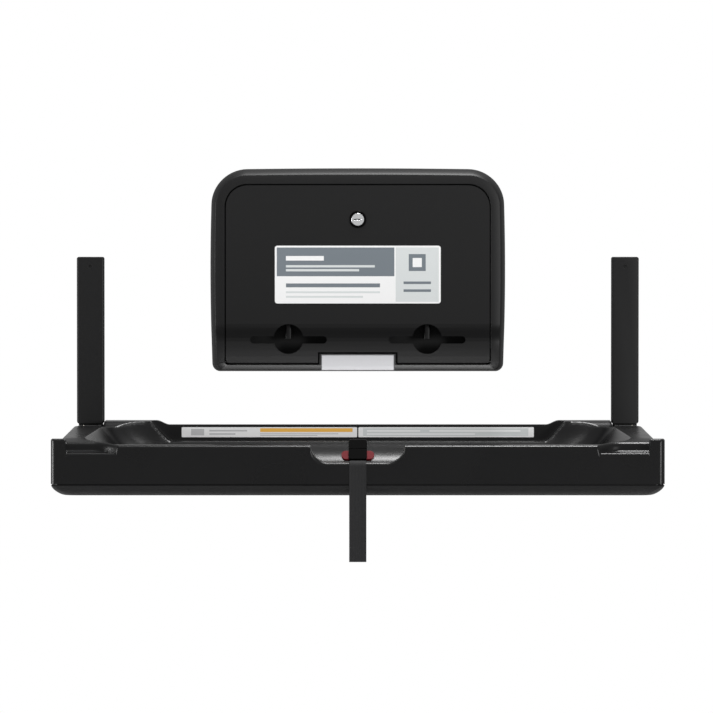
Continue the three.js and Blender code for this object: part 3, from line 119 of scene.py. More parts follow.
class Finish:
    """A surface finish: the constants of its shader, and one method that makes any other node."""

    def __init__(self, name, constants, tree=None):
        if tree is None:
            self.material = bpy.data.materials.new(name)
            self.material.use_nodes = True
            tree = self.material.node_tree
        self.tree = tree
        self.surface = tree.nodes.get("Principled BSDF") or tree.nodes.get("Background")
        self.feed(constants)

    def put(self, socket, value):
        """Links a channel to a socket, or sets the socket to a number or colour."""
        if isinstance(value, Channel):
            self.tree.links.new(value.socket, socket)
        elif socket.type == "RGBA" and len(value) == 3:
            socket.default_value = (*value, 1)
        else:
            socket.default_value = value

    def feed(self, values):
        """Sets or links the named inputs of the shader."""
        for name, value in values.items():
            self.put(self.surface.inputs[name], value)

    def node(self, kind, settings, inputs, output=0):
        """A node of the given kind with its settings made first; the channel is one of its outputs."""
        made = self.tree.nodes.new(kind)
        for name, value in settings.items():
            setattr(made, name, value)
        for name, value in inputs.items():
            self.put(made.inputs[name], value)
        return Channel(self, made.outputs[output])

    def parts(self, vector, axes):
        """The named axes of a vector, each as a channel."""
        return [self.node("ShaderNodeSeparateXYZ", {}, {0: vector}, axis) for axis in axes]

    def place(self, axes):
        """The named axes of the object's own coordinates, in metres."""
        return self.parts(self.node("ShaderNodeTexCoord", {}, {}, "Object"), axes)

    def noise(self, scale, detail):
        """A random pattern over the object's own coordinates, with scale grains to the metre."""
        spot = self.node("ShaderNodeTexCoord", {}, {}, "Object")
        return self.node("ShaderNodeTexNoise", {}, {"Vector": spot, "Scale": scale, "Detail": detail})

    def mixed(self, share, first, second):
        """A colour that goes from first to second as share goes from 0 to 1."""
        return self.node("ShaderNodeMix", {"data_type": "RGBA"}, {0: share, 6: first, 7: second}, 2)

    def bumped(self, height, strength, distance):
        """Tilts the surface's normal by the slope of a height."""
        self.feed({"Normal": self.node(
            "ShaderNodeBump", {}, {"Height": height, "Strength": strength, "Distance": distance},
        )})


studio = bpy.data.worlds.new("studio")
studio.use_nodes = True
bpy.context.scene.world = studio
paper = Finish("paper", {"Color": (1, 1, 1)}, studio.node_tree)
seen = paper.node("ShaderNodeLightPath", {}, {}, "Is Camera Ray")
paper.feed({"Strength": seen.math("MAXIMUM", seen, ROOM_LIGHT)})

# Each lamp has a place in metres, a turn in degrees, a width in metres and a power in watts.
for lamp_name, lamp_place, turn, width, power in (
    ("overhead_softbox", (0.3, -0.2, 2.4), (-4, 5, 0), 0.8, 85),
    ("front_softbox", (0, -1.0, 1.1), (36, 0, 0), 0.2, 1.8),
    ("right_softbox", (3.4, -5.2, 0.5), (86, 0, 36), 1.2, 150),
    ("left_softbox", (-2.4, -0.9, 0.15), (88, 0, -74), 0.9, 38),
):
    lamp = bpy.data.objects.new(lamp_name, bpy.data.lights.new(lamp_name, "AREA"))
    bpy.context.scene.collection.objects.link(lamp)
    lamp.location = lamp_place
    lamp.rotation_euler = np.radians(turn)
    lamp.data.size = width
    lamp.data.energy = power

floor_corners = [
    (-FLOOR_HALF, FLOOR_NEAR, FLOOR_LEVEL), (FLOOR_HALF, FLOOR_NEAR, FLOOR_LEVEL),
    (FLOOR_HALF, FLOOR_FAR, FLOOR_LEVEL), (-FLOOR_HALF, FLOOR_FAR, FLOOR_LEVEL),
]
floor_mesh = bpy.data.meshes.new("studio_floor")
floor_mesh.from_pydata(floor_corners, [], [(0, 1, 2, 3)])
studio_floor = bpy.data.objects.new("studio_floor", floor_mesh)
bpy.context.scene.collection.objects.link(studio_floor)
floor_mesh.materials.append(Finish("pale_floor", {"Base Color": (0.8, 0.8, 0.8), "Roughness": 0.9}).material)


# Fittings
# Rails, hinge arms, dampers and the tube are powder-coated steel, bolts, pins and screws are zinc plated, the
# hinge bushes nylon and the stop pads rubber. They keep their CAD shapes and take the finish of their slot.
def dressed(slot, finish):
    """Gives the CAD nodes of one material slot their finish."""
    for subpart in frame["record"]["subparts"]:
        if subpart["material_slot"] == slot:
            materials = frame["nodes"][subpart["node"]].data.materials
            materials.clear()
            materials.append(finish.material)


coated = Finish("black_powder_coat", {"Base Color": (0.0035, 0.0035, 0.0037), "Specular IOR Level": 0.24})
speckle = coated.noise(1400, 2)
coated.feed({"Roughness": 0.42 + 0.16 * speckle})
coated.bumped(speckle, 0.15, 0.0002)
zinc = Finish("zinc_plate", {"Base Color": (0.8, 0.81, 0.82), "Metallic": 1.0, "Roughness": 0.35})
nylon = Finish("natural_nylon", {"Base Color": (0.66, 0.63, 0.55), "Roughness": 0.55})
pad_rubber = Finish("pad_rubber", {"Base Color": (0.01, 0.01, 0.01), "Roughness": 0.9})
dressed("black_steel", coated)
dressed("bare_steel", zinc)
dressed("nylon", nylon)
dressed("rubber", pad_rubber)


# Rail covers
# The channel over each wall rail, which shows above the bed: bent sheet steel, so its edges are soft, with
# a black powder coat. One screw near its top holds it to the rail.
def softened(name, node_name, edge, finish, body, crease=30):
    """A copy of a CAD node with its doubled places merged, its flat faces joined and its edges rounded."""
    shape = bmesh.new()
    shape.from_mesh(frame["nodes"][node_name].data)
    shape.transform(frame["nodes"][node_name].matrix_world)
    bmesh.ops.remove_doubles(shape, verts=shape.verts, dist=1e-6)
    bmesh.ops.dissolve_limit(shape, angle_limit=np.radians(1), verts=shape.verts, edges=shape.edges)
    mesh = bpy.data.meshes.new(name)
    shape.to_mesh(mesh)
    shape.free()
    mesh.materials.clear()
    mesh.materials.append(finish.material)
    mesh.polygons.foreach_set("use_smooth", np.ones(len(mesh.polygons), bool))
    mesh.set_sharp_from_angle(angle=np.radians(crease))
    piece = bpy.data.objects.new(name, mesh)
    bpy.context.scene.collection.objects.link(piece)
    rounded = piece.modifiers.new("broken_edge", "BEVEL")
    rounded.width = edge / 1000
    rounded.segments = 2
    rounded.limit_method = "ANGLE"
    rounded.angle_limit = np.radians(crease)
    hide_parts(node_name)
    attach(piece, body)


for hand in ("left", "right"):
    softened(f"rail_channel_{hand}", f"rail_cover_{hand}", 0.6, coated, "wall")


# Bed tray
# The upper half of the bed, one black moulding: a deep bowl with a flat floor, shelves along both sides,
# a cheek at each front corner, raised rear corners over the dampers, a label recess and a grip notch.
SHELF, BOWL_FLOOR, TRAY_FOOT = 8.0, -52.0, -57.8
HALF, REAR, FRONT = 450.0, 14.0, 530.0
POCKET_SIDE, POCKET_FRONT = 391.0, 42.0
CORNER, EDGE = 8.0, 2.2
STEP_EASE = 1.4
RIM_FALL, FALL_FROM, RIM_ROUND = 9, 470, 6
DRAWN_FROM, DRAWN_OVER, DRAWN_BACK = 352, 36, 22
LEDGE, LEDGE_RISE, LEDGE_DEEP, LEDGE_POWER, LEDGE_EASE = -12.5, 11.5, 27, 5, 1.2
SHELF_SIDE, SIDE_SLOPE, SIDE_SOFT = 435, 26 / 15, 1.2
CHEEK_SIDE, CHEEK_REAR, CHEEK_ROUND = 427.3, 504.3, 4
REAR_RISE, DAMPER_RISE, DAMPER_OVER, DAMPER_END = 1.5, 6.5, 20, 3.4
REAR_RIM, REAR_RIM_OVER = 58, 15.75
BOWL_SIDE, BOWL_WIDENS, BOWL_REAR, BOWL_FRONT, BOWL_SOFT = 391, 13, 60, 518, 4
SIDE_REACH, FRONT_REACH, REAR_REACH = 90, 82, 55
CORNER_POWER, FRONT_POWER, BOWL_POWER = 2.6, 6, 2.4
RECESS_SIDE, RECESS_REAR, RECESS_FRONT, RECESS_FLOOR = 289, 29.3, 100, -15
RECESS_SLOPE, RECESS_SOFT, RECESS_BLEND = 1 / 0.93, 2, 1.5
NOTCH_FLOOR, NOTCH_FLAT, NOTCH_RADIUS, NOTCH_HALF, NOTCH_REAR = -26.5, 43, 26.4, 69.35, 480
NOTCH_ROUND, NOTCH_BLEND, NOTCH_CLEAR = 5, 1.6, 60


def lattice(rows, columns, closed, capped=False):
    """Faces of a grid of rows by columns, joined round if closed, with both end rows filled if capped."""
    span = np.arange(columns if closed else columns - 1)
    low = np.arange(rows - 1)[:, None] * columns
    here, beside = low + span, low + (span + 1) % columns
    faces = np.stack([here, beside, beside + columns, here + columns], -1).reshape(-1, 4).tolist()
    if capped:
        faces += [list(range(columns))[::-1], list(range((rows - 1) * columns, rows * columns))]
    return faces


def skin(name, places, faces, finish, slot, body=None, stands_for=(), uv=None, crease=35):
    """A smooth mesh from places in millimetres and faces, sharp where faces meet by more than crease
    degrees. It rides on a body and is shown in place of the CAD nodes it stands for."""
    mesh = bpy.data.meshes.new(name)
    mesh.from_pydata((np.asarray(places) / 1000).tolist(), [], faces)
    if uv is not None:
        corners = np.empty(len(mesh.loops), np.int32)
        mesh.loops.foreach_get("vertex_index", corners)
        corner_uv = np.asarray(uv)[corners].astype(np.float32)
        mesh.uv_layers.new(name="weave").data.foreach_set("uv", corner_uv.ravel())
    mesh.materials.append(finish.material)
    mesh.polygons.foreach_set("use_smooth", np.ones(len(mesh.polygons), bool))
    mesh.set_sharp_from_angle(angle=np.radians(crease))
    piece = bpy.data.objects.new(name, mesh)
    bpy.context.scene.collection.objects.link(piece)
    if stands_for:
        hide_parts(*stands_for)
    if body:
        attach(piece, body)
    return piece


def ease(t):
    """0 below 0, 1 above 1, and between them 3 t^2 - 2 t^3."""
    t = np.clip(t, 0, 1)
    return t * t * (3 - 2 * t)


def between(first, second, share):
    """From first to second as share goes from 0 to 1."""
    return first + (second - first) * share


def lesser(first, second, blend):
    """The lesser of two heights, with the corner between them rounded over blend."""
    share = np.clip(0.5 + 0.5 * (second - first) / blend, 0, 1)
    return between(second, first, share) - blend * share * (1 - share)


def soft_ramp(t, soft):
    """0 well below 0 and t well above it, by soft log(1 + e^(t / soft))."""
    return soft * np.logaddexp(0, t / soft)


def quarter_round(out, end, radius):
    """How far an edge that ends at end has dropped: radius (1 - sqrt(1 - t^2)), t from 0 to 1 over radius."""
    t = np.clip((out - end + radius) / radius, 0, 1)
    return radius * (1 - np.sqrt(1 - t ** 2))


def joined(first, second, power):
    """The norm of two numbers: the sum of their powers, to one over the power."""
    return (first ** power + second ** power) ** (1 / power)


def corner_round(across, out):
    """Draws the square at each front corner of the grid into a quarter disc: p and q from 0 to 1 over the
    square become p sqrt(1 - q^2 / 2) and q sqrt(1 - p^2 / 2)."""
    p = np.clip((np.abs(across) - HALF + CORNER) / CORNER, 0, 1)
    q = np.clip((out - FRONT + CORNER) / CORNER, 0, 1)
    inside = (p > 0) & (q > 0)
    new_across = np.where(inside, HALF - CORNER + CORNER * p * np.sqrt(1 - q * q / 2), np.abs(across))
    new_out = np.where(inside, FRONT - CORNER + CORNER * q * np.sqrt(1 - p * p / 2), out)
    return np.sign(across) * new_across, new_out


def to_outline(a, u):
    """How far inside the bed's plan a point is: the least distance to a side, or to a front corner's arc."""
    to_arc = CORNER - np.hypot(np.maximum(a - HALF + CORNER, 0), np.maximum(u - FRONT + CORNER, 0))
    to_side = np.where(u < POCKET_FRONT - 0.01, POCKET_SIDE - a, HALF - a)
    to_rear = np.where(a > POCKET_SIDE + 0.01, u - POCKET_FRONT, u - REAR)
    in_corner = (a > HALF - CORNER) & (u > FRONT - CORNER)
    return np.where(in_corner, to_arc, np.minimum(np.minimum(to_side, to_rear), FRONT - u))


def tray_top(a, u):
    """Height of the tray's top at a from the middle and u from the wall.

    The shelf falls to the front rim, whose edge is a quarter round. Beside each cheek that edge draws back
    by 1 - (1 - s)^2, and the ledge in front of it is nearly flat, rising at its rear by t^5. The sides slope
    down outside the shelf; the rear rim rises over the dampers. The rim then sinks to the bowl's floor by
    1 - r^2.4. There r joins how near the point is to the bowl's side and rear edges by a 2.6-norm, and that
    with how near it is to the bowl's front edge by a 6-norm; the front edge draws back with the rim. The
    label recess and the grip notch are the lesser of this height and their own outlines.
    """
    drawn = 1 - (1 - np.clip((a - DRAWN_FROM) / DRAWN_OVER, 0, 1)) ** 2
    rim_edge = FRONT - DRAWN_BACK * drawn
    fall = RIM_FALL * ease((u - FALL_FROM) / (FRONT - FALL_FROM))
    rim = SHELF - fall - quarter_round(u, rim_edge, RIM_ROUND)
    front_drop = quarter_round(u, FRONT, CHEEK_ROUND)
    ledge = LEDGE + LEDGE_RISE * np.clip((FRONT - u) / LEDGE_DEEP, 0, 1) ** LEDGE_POWER - front_drop
    rim = between(rim, np.minimum(ledge, rim), ease((u - rim_edge) / LEDGE_EASE))
    rim = rim - SIDE_SLOPE * soft_ramp(a - SHELF_SIDE, SIDE_SOFT)
    cheek = ease((a - CHEEK_SIDE) / STEP_EASE) * ease((u - CHEEK_REAR) / STEP_EASE)
    rim = between(rim, SHELF - front_drop, cheek)
    raised = SHELF + REAR_RISE + DAMPER_RISE * ease((a - RECESS_SIDE) / DAMPER_OVER)
    beside = ease((a - POCKET_SIDE + DAMPER_END) / DAMPER_END)
    before = ease((u - REAR_RIM) / REAR_RIM_OVER)
    rim = between(rim, raised, (1 - beside) * (1 - before))
    bowl_half = BOWL_SIDE + BOWL_WIDENS * np.clip((u - BOWL_REAR) / (BOWL_FRONT - BOWL_REAR), 0, 1)
    bowl_front = lesser(BOWL_FRONT, rim_edge - RIM_ROUND, BOWL_SOFT)
    side_near = np.maximum(1 - (bowl_half - a) / SIDE_REACH, 0)
    front_near = np.maximum(1 - (bowl_front - u) / FRONT_REACH, 0)
    rear_near = np.maximum(1 - (u - BOWL_REAR) / REAR_REACH, 0)
    r = joined(joined(side_near, rear_near, CORNER_POWER), front_near, FRONT_POWER)
    z = between(rim, BOWL_FLOOR, 1 - np.minimum(r, 1) ** BOWL_POWER)
    recess = RECESS_FLOOR + RECESS_SLOPE * soft_ramp(a - RECESS_SIDE, RECESS_SOFT)
    in_recess = ease((u - RECESS_REAR) / STEP_EASE) * (u < RECESS_FRONT)
    z = between(z, lesser(z, recess, RECESS_BLEND), in_recess)
    rise = NOTCH_RADIUS - np.sqrt(np.maximum(NOTCH_RADIUS ** 2 - np.maximum(a - NOTCH_FLAT, 0) ** 2, 0))
    notch = np.where(a > NOTCH_HALF, NOTCH_CLEAR, NOTCH_FLOOR + rise) - quarter_round(u, FRONT, NOTCH_ROUND)
    return np.where(u > NOTCH_REAR, lesser(z, notch, NOTCH_BLEND), z)


def grid_lines(*stretches):
    """Grid lines in order: each stretch runs from one place up to another by a step."""
    return np.concatenate([np.arange(*stretch) for stretch in stretches])


# Lines lie closer together where the top turns; an edge's own lines are given by their distance from it.
edge_steps = np.array([0, 0.1, 0.3, 0.7, 1.2, 1.8, 2.6, 3.6])
half_lines = np.unique(np.round(np.concatenate([
    grid_lines(
        (0, 36, 6), (36, 66, 1.5), (66, 70.4, 0.4), (72, 280, 8), (280, 330, 1.25), (332, 344, 2),
        (344, 386, 1.2), (391, 406, 0.6), (407, 426, 3), (426.8, 429, 0.2), (429.5, 439, 0.5),
        (440, 446, 1.5),
    ),
    POCKET_SIDE - edge_steps, HALF - edge_steps, [HALF - CORNER, HALF - CORNER + 1.5],
]), 3))
across_lines = np.concatenate([-half_lines[:0:-1], half_lines])
out_lines = np.unique(np.round(np.concatenate([
    grid_lines(
        (20, 29, 3), (29, 31.1, 0.2), (33, 42, 3), (48, 60, 2), (60, 130, 1.6), (130, 436, 12),
        (436, 504, 2.4), (504, 506, 0.2), (506.6, 526, 0.7),
    ),
    REAR + edge_steps, POCKET_FRONT + edge_steps, FRONT - edge_steps,
]), 3))
grid_x, grid_u = corner_round(*np.meshgrid(across_lines, out_lines))
grid_a = np.abs(grid_x)
grid_z = tray_top(grid_a, grid_u) - quarter_round(-to_outline(grid_a, grid_u), 0, EDGE)
columns, rows = len(across_lines), len(out_lines)

# The cells over the two hinge pockets are left out, and a loop runs round the edge of the rest.
left, right = np.searchsorted(across_lines, [-POCKET_SIDE - 0.001, POCKET_SIDE - 0.001])
step_row = np.searchsorted(out_lines, POCKET_FRONT - 0.001)
cells = np.array(lattice(rows, columns, False))
cell_row, cell_column = np.divmod(cells[:, 0], columns)
kept = (cell_row >= step_row) | ((cell_column >= left) & (cell_column < right))
number = np.arange(rows * columns).reshape(rows, columns)
loop = np.concatenate([
    number[0, left:right], number[:step_row, right], number[step_row, right:-1], number[step_row:-1, -1],
    number[-1, :0:-1], number[-1:step_row:-1, 0], number[step_row, :left], number[step_row:0:-1, left],
])

# The outer wall drops from that loop to the seam, and its last ring is tucked in a little.
wall_drop = np.array([0.02, 0.35, 0.7, 1, 1])
wall_tuck = np.array([0, 0, 0, 0, 0.02])
bed_middle = np.array([0, -(REAR + FRONT) / 2])
top_places = np.stack([grid_x, -grid_u, grid_z], -1).reshape(-1, 3)
walls = np.repeat(top_places[loop][None], len(wall_drop), 0)
walls[:, :, 2] += (TRAY_FOOT - walls[:, :, 2]) * wall_drop[:, None]
walls[:, :, :2] += (bed_middle - walls[:, :, :2]) * wall_tuck[:, None, None]
first_wall = len(top_places)
wall_faces = np.array(lattice(len(wall_drop), len(loop), True)) + first_wall
ring = np.arange(len(loop))
join_faces = np.stack([loop, np.roll(loop, -1), first_wall + np.roll(ring, -1), first_wall + ring], 1)

moulded = Finish("moulded_black", {"Specular IOR Level": 0.25})
grain = moulded.noise(700, 3)
cloud = moulded.noise(9, 2)
moulded.feed({
    "Base Color": moulded.mixed(cloud, (0.0036, 0.0036, 0.0038), (0.0048, 0.0048, 0.005)),
    "Roughness": 0.24 + 0.08 * cloud,
})
moulded.bumped(grain, 0.12, 0.0003)
dressed("black_plastic", moulded)
skin(
    "bed_tray_skin",
    np.concatenate([top_places, walls.reshape(-1, 3)]),
    cells[kept][:, ::-1].tolist() + join_faces[:, ::-1].tolist() + wall_faces[:, ::-1].tolist(),
    moulded, "black_plastic", "bed", ("bed_tray",), crease=48,
)


# Bed base
# The pan under the tray, moulded in the same black plastic: its lower edge is a flat, rounded bevel, and a
# lip inside the seam locates it in the tray. Four screws hold it from below, each sunk in a well.
SEAM_INSET, SEAM_LOW = 0.4, -59.9
BEVEL_IN, BEVEL_DOWN, BEVEL_POWER = 19, 15.3, 1.38
SEAM_AND_LIP = ((SEAM_INSET, SEAM_LOW), (0.9, -59.6), (3.9, -59.5), (3.9, -52.5))
WELL_RADIUS, WELL_DEEP, WELL_SIDES = 4.8, 4, 24
WELL_PLACES = ((-250, 180), (-250, 380), (250, 180), (250, 380))


def base_ring(inset, height):
    """The bed's plan drawn in by inset, at a height: a rectangle with round front corners and a square
    pocket cut from each rear corner. The pockets stay where they are."""
    radius = CORNER + inset / 2
    turn = np.linspace(0, np.pi / 2, 13)
    side, rear, front = HALF - inset, REAR + inset, FRONT - inset
    pocket = [(POCKET_SIDE, rear), (POCKET_SIDE, POCKET_FRONT), (side, POCKET_FRONT)]
    corner = np.stack([side - radius + radius * np.cos(turn), front - radius + radius * np.sin(turn)], 1)
    right_half = np.concatenate([pocket, corner])
    plan = np.concatenate([right_half, right_half[::-1] * (-1, 1)])
    return np.stack([plan[:, 0], -plan[:, 1], np.full(len(plan), height)], 1)


# The bevel is a superellipse: inward by 1 - sin^1.38 and down by cos^1.38 of the turn.
base_rings = [
    base_ring(
        SEAM_INSET + BEVEL_IN * (1 - np.sin(turn) ** BEVEL_POWER),
        SEAM_LOW - BEVEL_DOWN * np.cos(turn) ** BEVEL_POWER,
    )
    for turn in np.linspace(0, np.pi / 2, 17)[:-1]
]
base_rings += [base_ring(inset, height) for inset, height in SEAM_AND_LIP]
around = np.linspace(0, 2 * np.pi, WELL_SIDES + 1)[:-1]
well_ring = WELL_RADIUS * np.stack([np.cos(around), np.sin(around), 0 * around], 1)
wells = [
    well_ring + (x, -out, SEAM_LOW - BEVEL_DOWN + rise) for x, out in WELL_PLACES for rise in (0, WELL_DEEP)
]
pan_places = np.concatenate([*base_rings, *wells])
ring_count = len(base_rings[0])
side_count = len(base_rings) * ring_count
pan_faces = lattice(len(base_rings), ring_count, True)
pan_faces.append(list(range(side_count - ring_count, side_count)))
well_lips = [
    np.arange(WELL_SIDES) + side_count + 2 * WELL_SIDES * count for count in range(len(WELL_PLACES))
]
for lip in well_lips:
    pan_faces += (np.array(lattice(2, WELL_SIDES, True))[:, ::-1] + lip[0]).tolist()
    pan_faces.append((lip + WELL_SIDES).tolist()[::-1])
bottom_loops = [np.arange(ring_count), *well_lips]
bottom = np.concatenate(bottom_loops)
filled = tessellate_polygon([pan_places[bottom_loop].tolist() for bottom_loop in bottom_loops])
pan_faces += [[int(bottom[corner]) for corner in triangle] for triangle in filled]
pan = Finish("pan_black", {
    "Base Color": (0.004, 0.004, 0.0042), "Specular IOR Level": 0.2, "Roughness": 0.42,
})
skin("bed_base_skin", pan_places, pan_faces, pan, "black_plastic", "bed", ("bed_base",), crease=50)


# Rear strap
# The fixed length of the safety strap, 25 mm woven webbing: from its anchor at the rear of the bowl it lies
# along the floor and up the front slope, where it leaves the tray and arches to the top of the buckle.
WEBBING_WIDTH, WEBBING_THICK = 25.2, 1.6
RIBBON_SIDES, RIBBON_SQUARE = 32, 0.35
RIB_PITCH, PICK_PITCH = 0.0021, 0.0016
ANCHOR_OUT, LEAVE_OUT = 103.5, 448
BUCKLE_TOP = (493.8, 4.0)
FIRST_PULL_OUT, SECOND_PULL = 482.3, (482.5, 8.5)
STRAP_OVER = 1.4


def webbing_ribbon(line):
    """A ribbon of webbing along a line of (u, z) points at x = 0.

    Across it runs a closed outline, a flat bar of the webbing's width and thickness. Its points go across by
    the cosine to a low power, which gathers them at the two round edges, and up by the sine. Each station of
    the line carries that outline, turned so that its thickness lies along the line's normal. Both ends close
    on a straight edge. The UV map runs across the width and along the length, in metres.
    """
    line = np.asarray(line, float)
    step = np.gradient(line, axis=0)
    normal = np.stack([-step[:, 1], step[:, 0]], 1) / np.linalg.norm(step, axis=1)[:, None]
    turn = np.linspace(0, 2 * np.pi, RIBBON_SIDES + 1)[:-1]
    round_end = WEBBING_THICK / 2
    flat = np.sign(np.cos(turn)) * np.abs(np.cos(turn)) ** RIBBON_SQUARE
    across = flat * (WEBBING_WIDTH / 2 - round_end) + round_end * np.cos(turn)
    lift = round_end * np.sin(turn)
    places = np.stack([
        np.broadcast_to(across, (len(line), RIBBON_SIDES)),
        -(line[:, :1] + normal[:, :1] * lift),
        line[:, 1:] + normal[:, 1:] * lift,
    ], -1)
    run = np.concatenate([[0], np.cumsum(np.linalg.norm(np.diff(line, axis=0), axis=1))])
    weave = np.stack(np.broadcast_arrays(across[None, :], run[:, None]), -1) / 1000
    return places.reshape(-1, 3), lattice(len(line), RIBBON_SIDES, True, True), weave.reshape(-1, 2)


webbing = Finish("black_webbing", {"Roughness": 0.85, "Specular IOR Level": 0.25})
strap_x, strap_y = webbing.parts(webbing.node("ShaderNodeUVMap", {"uv_map": "weave"}, {}), "XY")
rib = abs((strap_x / RIB_PITCH) % 1 - 0.5) * 2
pick = abs((strap_y / PICK_PITCH) % 1 - 0.5) * 2
webbing.feed({"Base Color": webbing.mixed(rib * pick, (0.011, 0.011, 0.0115), (0.028, 0.028, 0.029))})
webbing.bumped(rib * 0.7 + pick * 0.3, 0.5, 0.0004)
dressed("webbing", webbing)

# The arch is a cubic curve from the tray to the buckle, bent by two pulls.
lying_out = np.concatenate([
    np.linspace(ANCHOR_OUT, 118, 12), np.linspace(122, 430, 40), np.linspace(433, LEAVE_OUT, 9),
])
lying_up = tray_top(0 * lying_out, lying_out)
arch = np.linspace(0, 1, 19)[1:, None]
arch_line = (
    (1 - arch) ** 3 * (LEAVE_OUT, lying_up[-1])
    + 3 * arch * (1 - arch) ** 2 * (FIRST_PULL_OUT, lying_up[-1])
    + 3 * arch ** 2 * (1 - arch) * SECOND_PULL
    + arch ** 3 * BUCKLE_TOP
)
rear_line = np.concatenate([np.stack([lying_out, lying_up], 1), arch_line])
run = np.gradient(rear_line, axis=0)
upward = np.stack([-run[:, 1], run[:, 0]], 1) / np.linalg.norm(run, axis=1)[:, None]
rear_places, rear_faces, rear_uv = webbing_ribbon(rear_line + STRAP_OVER * upward)
skin("strap_lying", rear_places, rear_faces, webbing, "webbing", "bed", ("strap_rear",), rear_uv)


# Buckle
# A side-release buckle at the front of the bowl, black, with a red tab on each side to press in; the
# strap's rear end is held by a low bar of the same plastic.
acetal = Finish("buckle_black", {
    "Base Color": (0.001, 0.001, 0.001), "Roughness": 0.5, "Specular IOR Level": 0.03,
})
red = Finish("release_red", {
    "Base Color": (0.12, 0.004, 0.008), "Roughness": 0.45, "Specular IOR Level": 0.2,
})
dressed("buckle_plastic", acetal)
dressed("red_plastic", red)
softened("buckle_half_foot", "buckle_socket", 0.6, acetal, "bed")
softened("buckle_half_top", "buckle_plug", 0.6, acetal, "bed")
softened("anchor_bar", "strap_anchor", 0.6, acetal, "bed")
for hand in ("left", "right"):
    softened(f"press_tab_{hand}", f"buckle_tab_{hand}", 0.4, red, f"tab_{hand}")


# Strap tail
# The loose end of the strap, of the same webbing: it leaves the buckle's foot, crosses the floor of the
# grip notch, turns down over the bed's front edge and hangs free below it.
FOOT_OUT, FOOT_UP = 511.5, -24.3
NOTCH_EDGE, STRAP_LIFT = 523, 1.1
TURN_RADIUS = 6.1
TAIL_OUT, TAIL_TOP, TAIL_END = 531.1, -35, -172
TAIL_BELLY = 0.25
over_edge = np.linspace(np.pi / 2, 0, 9)
hang = np.linspace(0, 1, 42)
tail_line = np.concatenate([
    [(FOOT_OUT, FOOT_UP), (FOOT_OUT + 4, FOOT_UP - 0.7)],
    [(FOOT_OUT + 8, NOTCH_FLOOR + STRAP_LIFT), (NOTCH_EDGE, NOTCH_FLOOR + STRAP_LIFT)],
    np.stack([
        TAIL_OUT + TURN_RADIUS * (np.cos(over_edge) - 1),
        NOTCH_FLOOR + STRAP_LIFT + TURN_RADIUS * (np.sin(over_edge) - 1),
    ], 1),
    np.stack([TAIL_OUT + TAIL_BELLY * np.sin(np.pi * hang), TAIL_TOP + (TAIL_END - TAIL_TOP) * hang], 1),
])
tail_places, tail_faces, tail_uv = webbing_ribbon(tail_line)
strap_tail = skin(
    "strap_hanging", tail_places, tail_faces, webbing, "webbing",
    stands_for=("strap_front", "strap_tail"), uv=tail_uv,
)
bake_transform(strap_tail)


# Liner dispenser
# A black moulded box on the wall above the bed, open at the front, with a soft rounded front edge and a
# foot that flares forward. A divider makes two stacks, and a rib stands behind each finger hole.
LOW, HIGH, WIDE = 92.4, 403.0, 226.0
FACE, VALLEY, FLARE = 60, 55, 72
VALLEY_UP, FACE_OVER, FLARE_POWER = 138, 27, 1.6
FOOT_CORNER, TOP_CORNER = 12, 53
SIDE_BOW, TOP_BOW = 3.5, 2
ROLL_SIDE, ROLL_FOOT, ROLL_TOP, ROLL_DEEP, ROLL_POWER = 7.6, 3, 10, 20, 1.43
OPENING = (203.5, 102.6, 378.7, 4.8, 34.5)
OPENING_EDGE = (204.3, 102.1, 379.5, 5.4, 35)
EDGE_DEEP, FRAME_DEEP = 0.8, 12
CAVITY, CAVITY_BACK = (218.5, 96.4, 397, 8, 49), 3
TAB_HALF, TAB_LOW, TAB_HIGH, TAB_STEPS = 58.5, 97, 119, 23
TAB_FRONT, TAB_BACK = 1, 11
BAR_SIDES = 40


def face_out(z):
    """How far the dispenser's front is from the wall: from the flat face above it eases in to the valley,
    and below that it flares by the 1.6th power of the depth."""
    below = np.maximum(VALLEY_UP - z, 0) / (VALLEY_UP - LOW)
    above = VALLEY + (FACE - VALLEY) * ease((z - VALLEY_UP) / FACE_OVER)
    return np.where(z >= VALLEY_UP, above, VALLEY + (FLARE - VALLEY) * below ** FLARE_POWER)


def box_outline(half, low, high, foot, top, bow=0):
    """A rectangle with round corners in x and z, anticlockwise from the middle of its foot; its sides draw
    in by bow times the square of the distance from mid height, and its top sinks a little at the ends."""
    bend = np.linspace(0, np.pi / 2, 17)
    foot_run = np.linspace(0, half - foot, 6)[:-1]
    side_run = np.concatenate([np.linspace(106, 170, 33), np.linspace(180, 340, 9)])
    top_run = np.linspace(half - top, 0, 6)[1:]
    x = np.concatenate([
        foot_run, half - foot + foot * np.sin(bend), np.full(len(side_run), half),
        half - top + top * np.cos(bend), top_run,
    ])
    z = np.concatenate([
        np.full(len(foot_run), low), low + foot - foot * np.cos(bend), side_run,
        high - top + top * np.sin(bend), np.full(len(top_run), high),
    ])
    t = (z - (LOW + HIGH) / 2) / ((HIGH - LOW) / 2)
    drawn = x * (1 - bow * SIDE_BOW * t ** 2 / WIDE)
    sunk = z - bow * TOP_BOW * np.maximum(t, 0) * (x / half) ** 2
    return np.concatenate([drawn, -drawn[-2:0:-1]]), np.concatenate([sunk, sunk[-2:0:-1]])


def level_ring(outline, out):
    """An outline carried to one distance from the wall."""
    x, z = outline
    return np.stack([x, np.full(len(x), -out), z], 1)


def face_ring(outline, behind):
    """An outline carried to a distance behind the dispenser's curved front."""
    x, z = outline
    return np.stack([x, behind - face_out(z), z], 1)


def body_outline(share):
    """The box's outline, drawn in at its sides, foot and top by a share of the rounded front edge."""
    return box_outline(
        WIDE - ROLL_SIDE * share, LOW + ROLL_FOOT * share, HIGH - ROLL_TOP * share,
        FOOT_CORNER - ROLL_FOOT * share, TOP_CORNER - ROLL_SIDE * share, 1,
    )


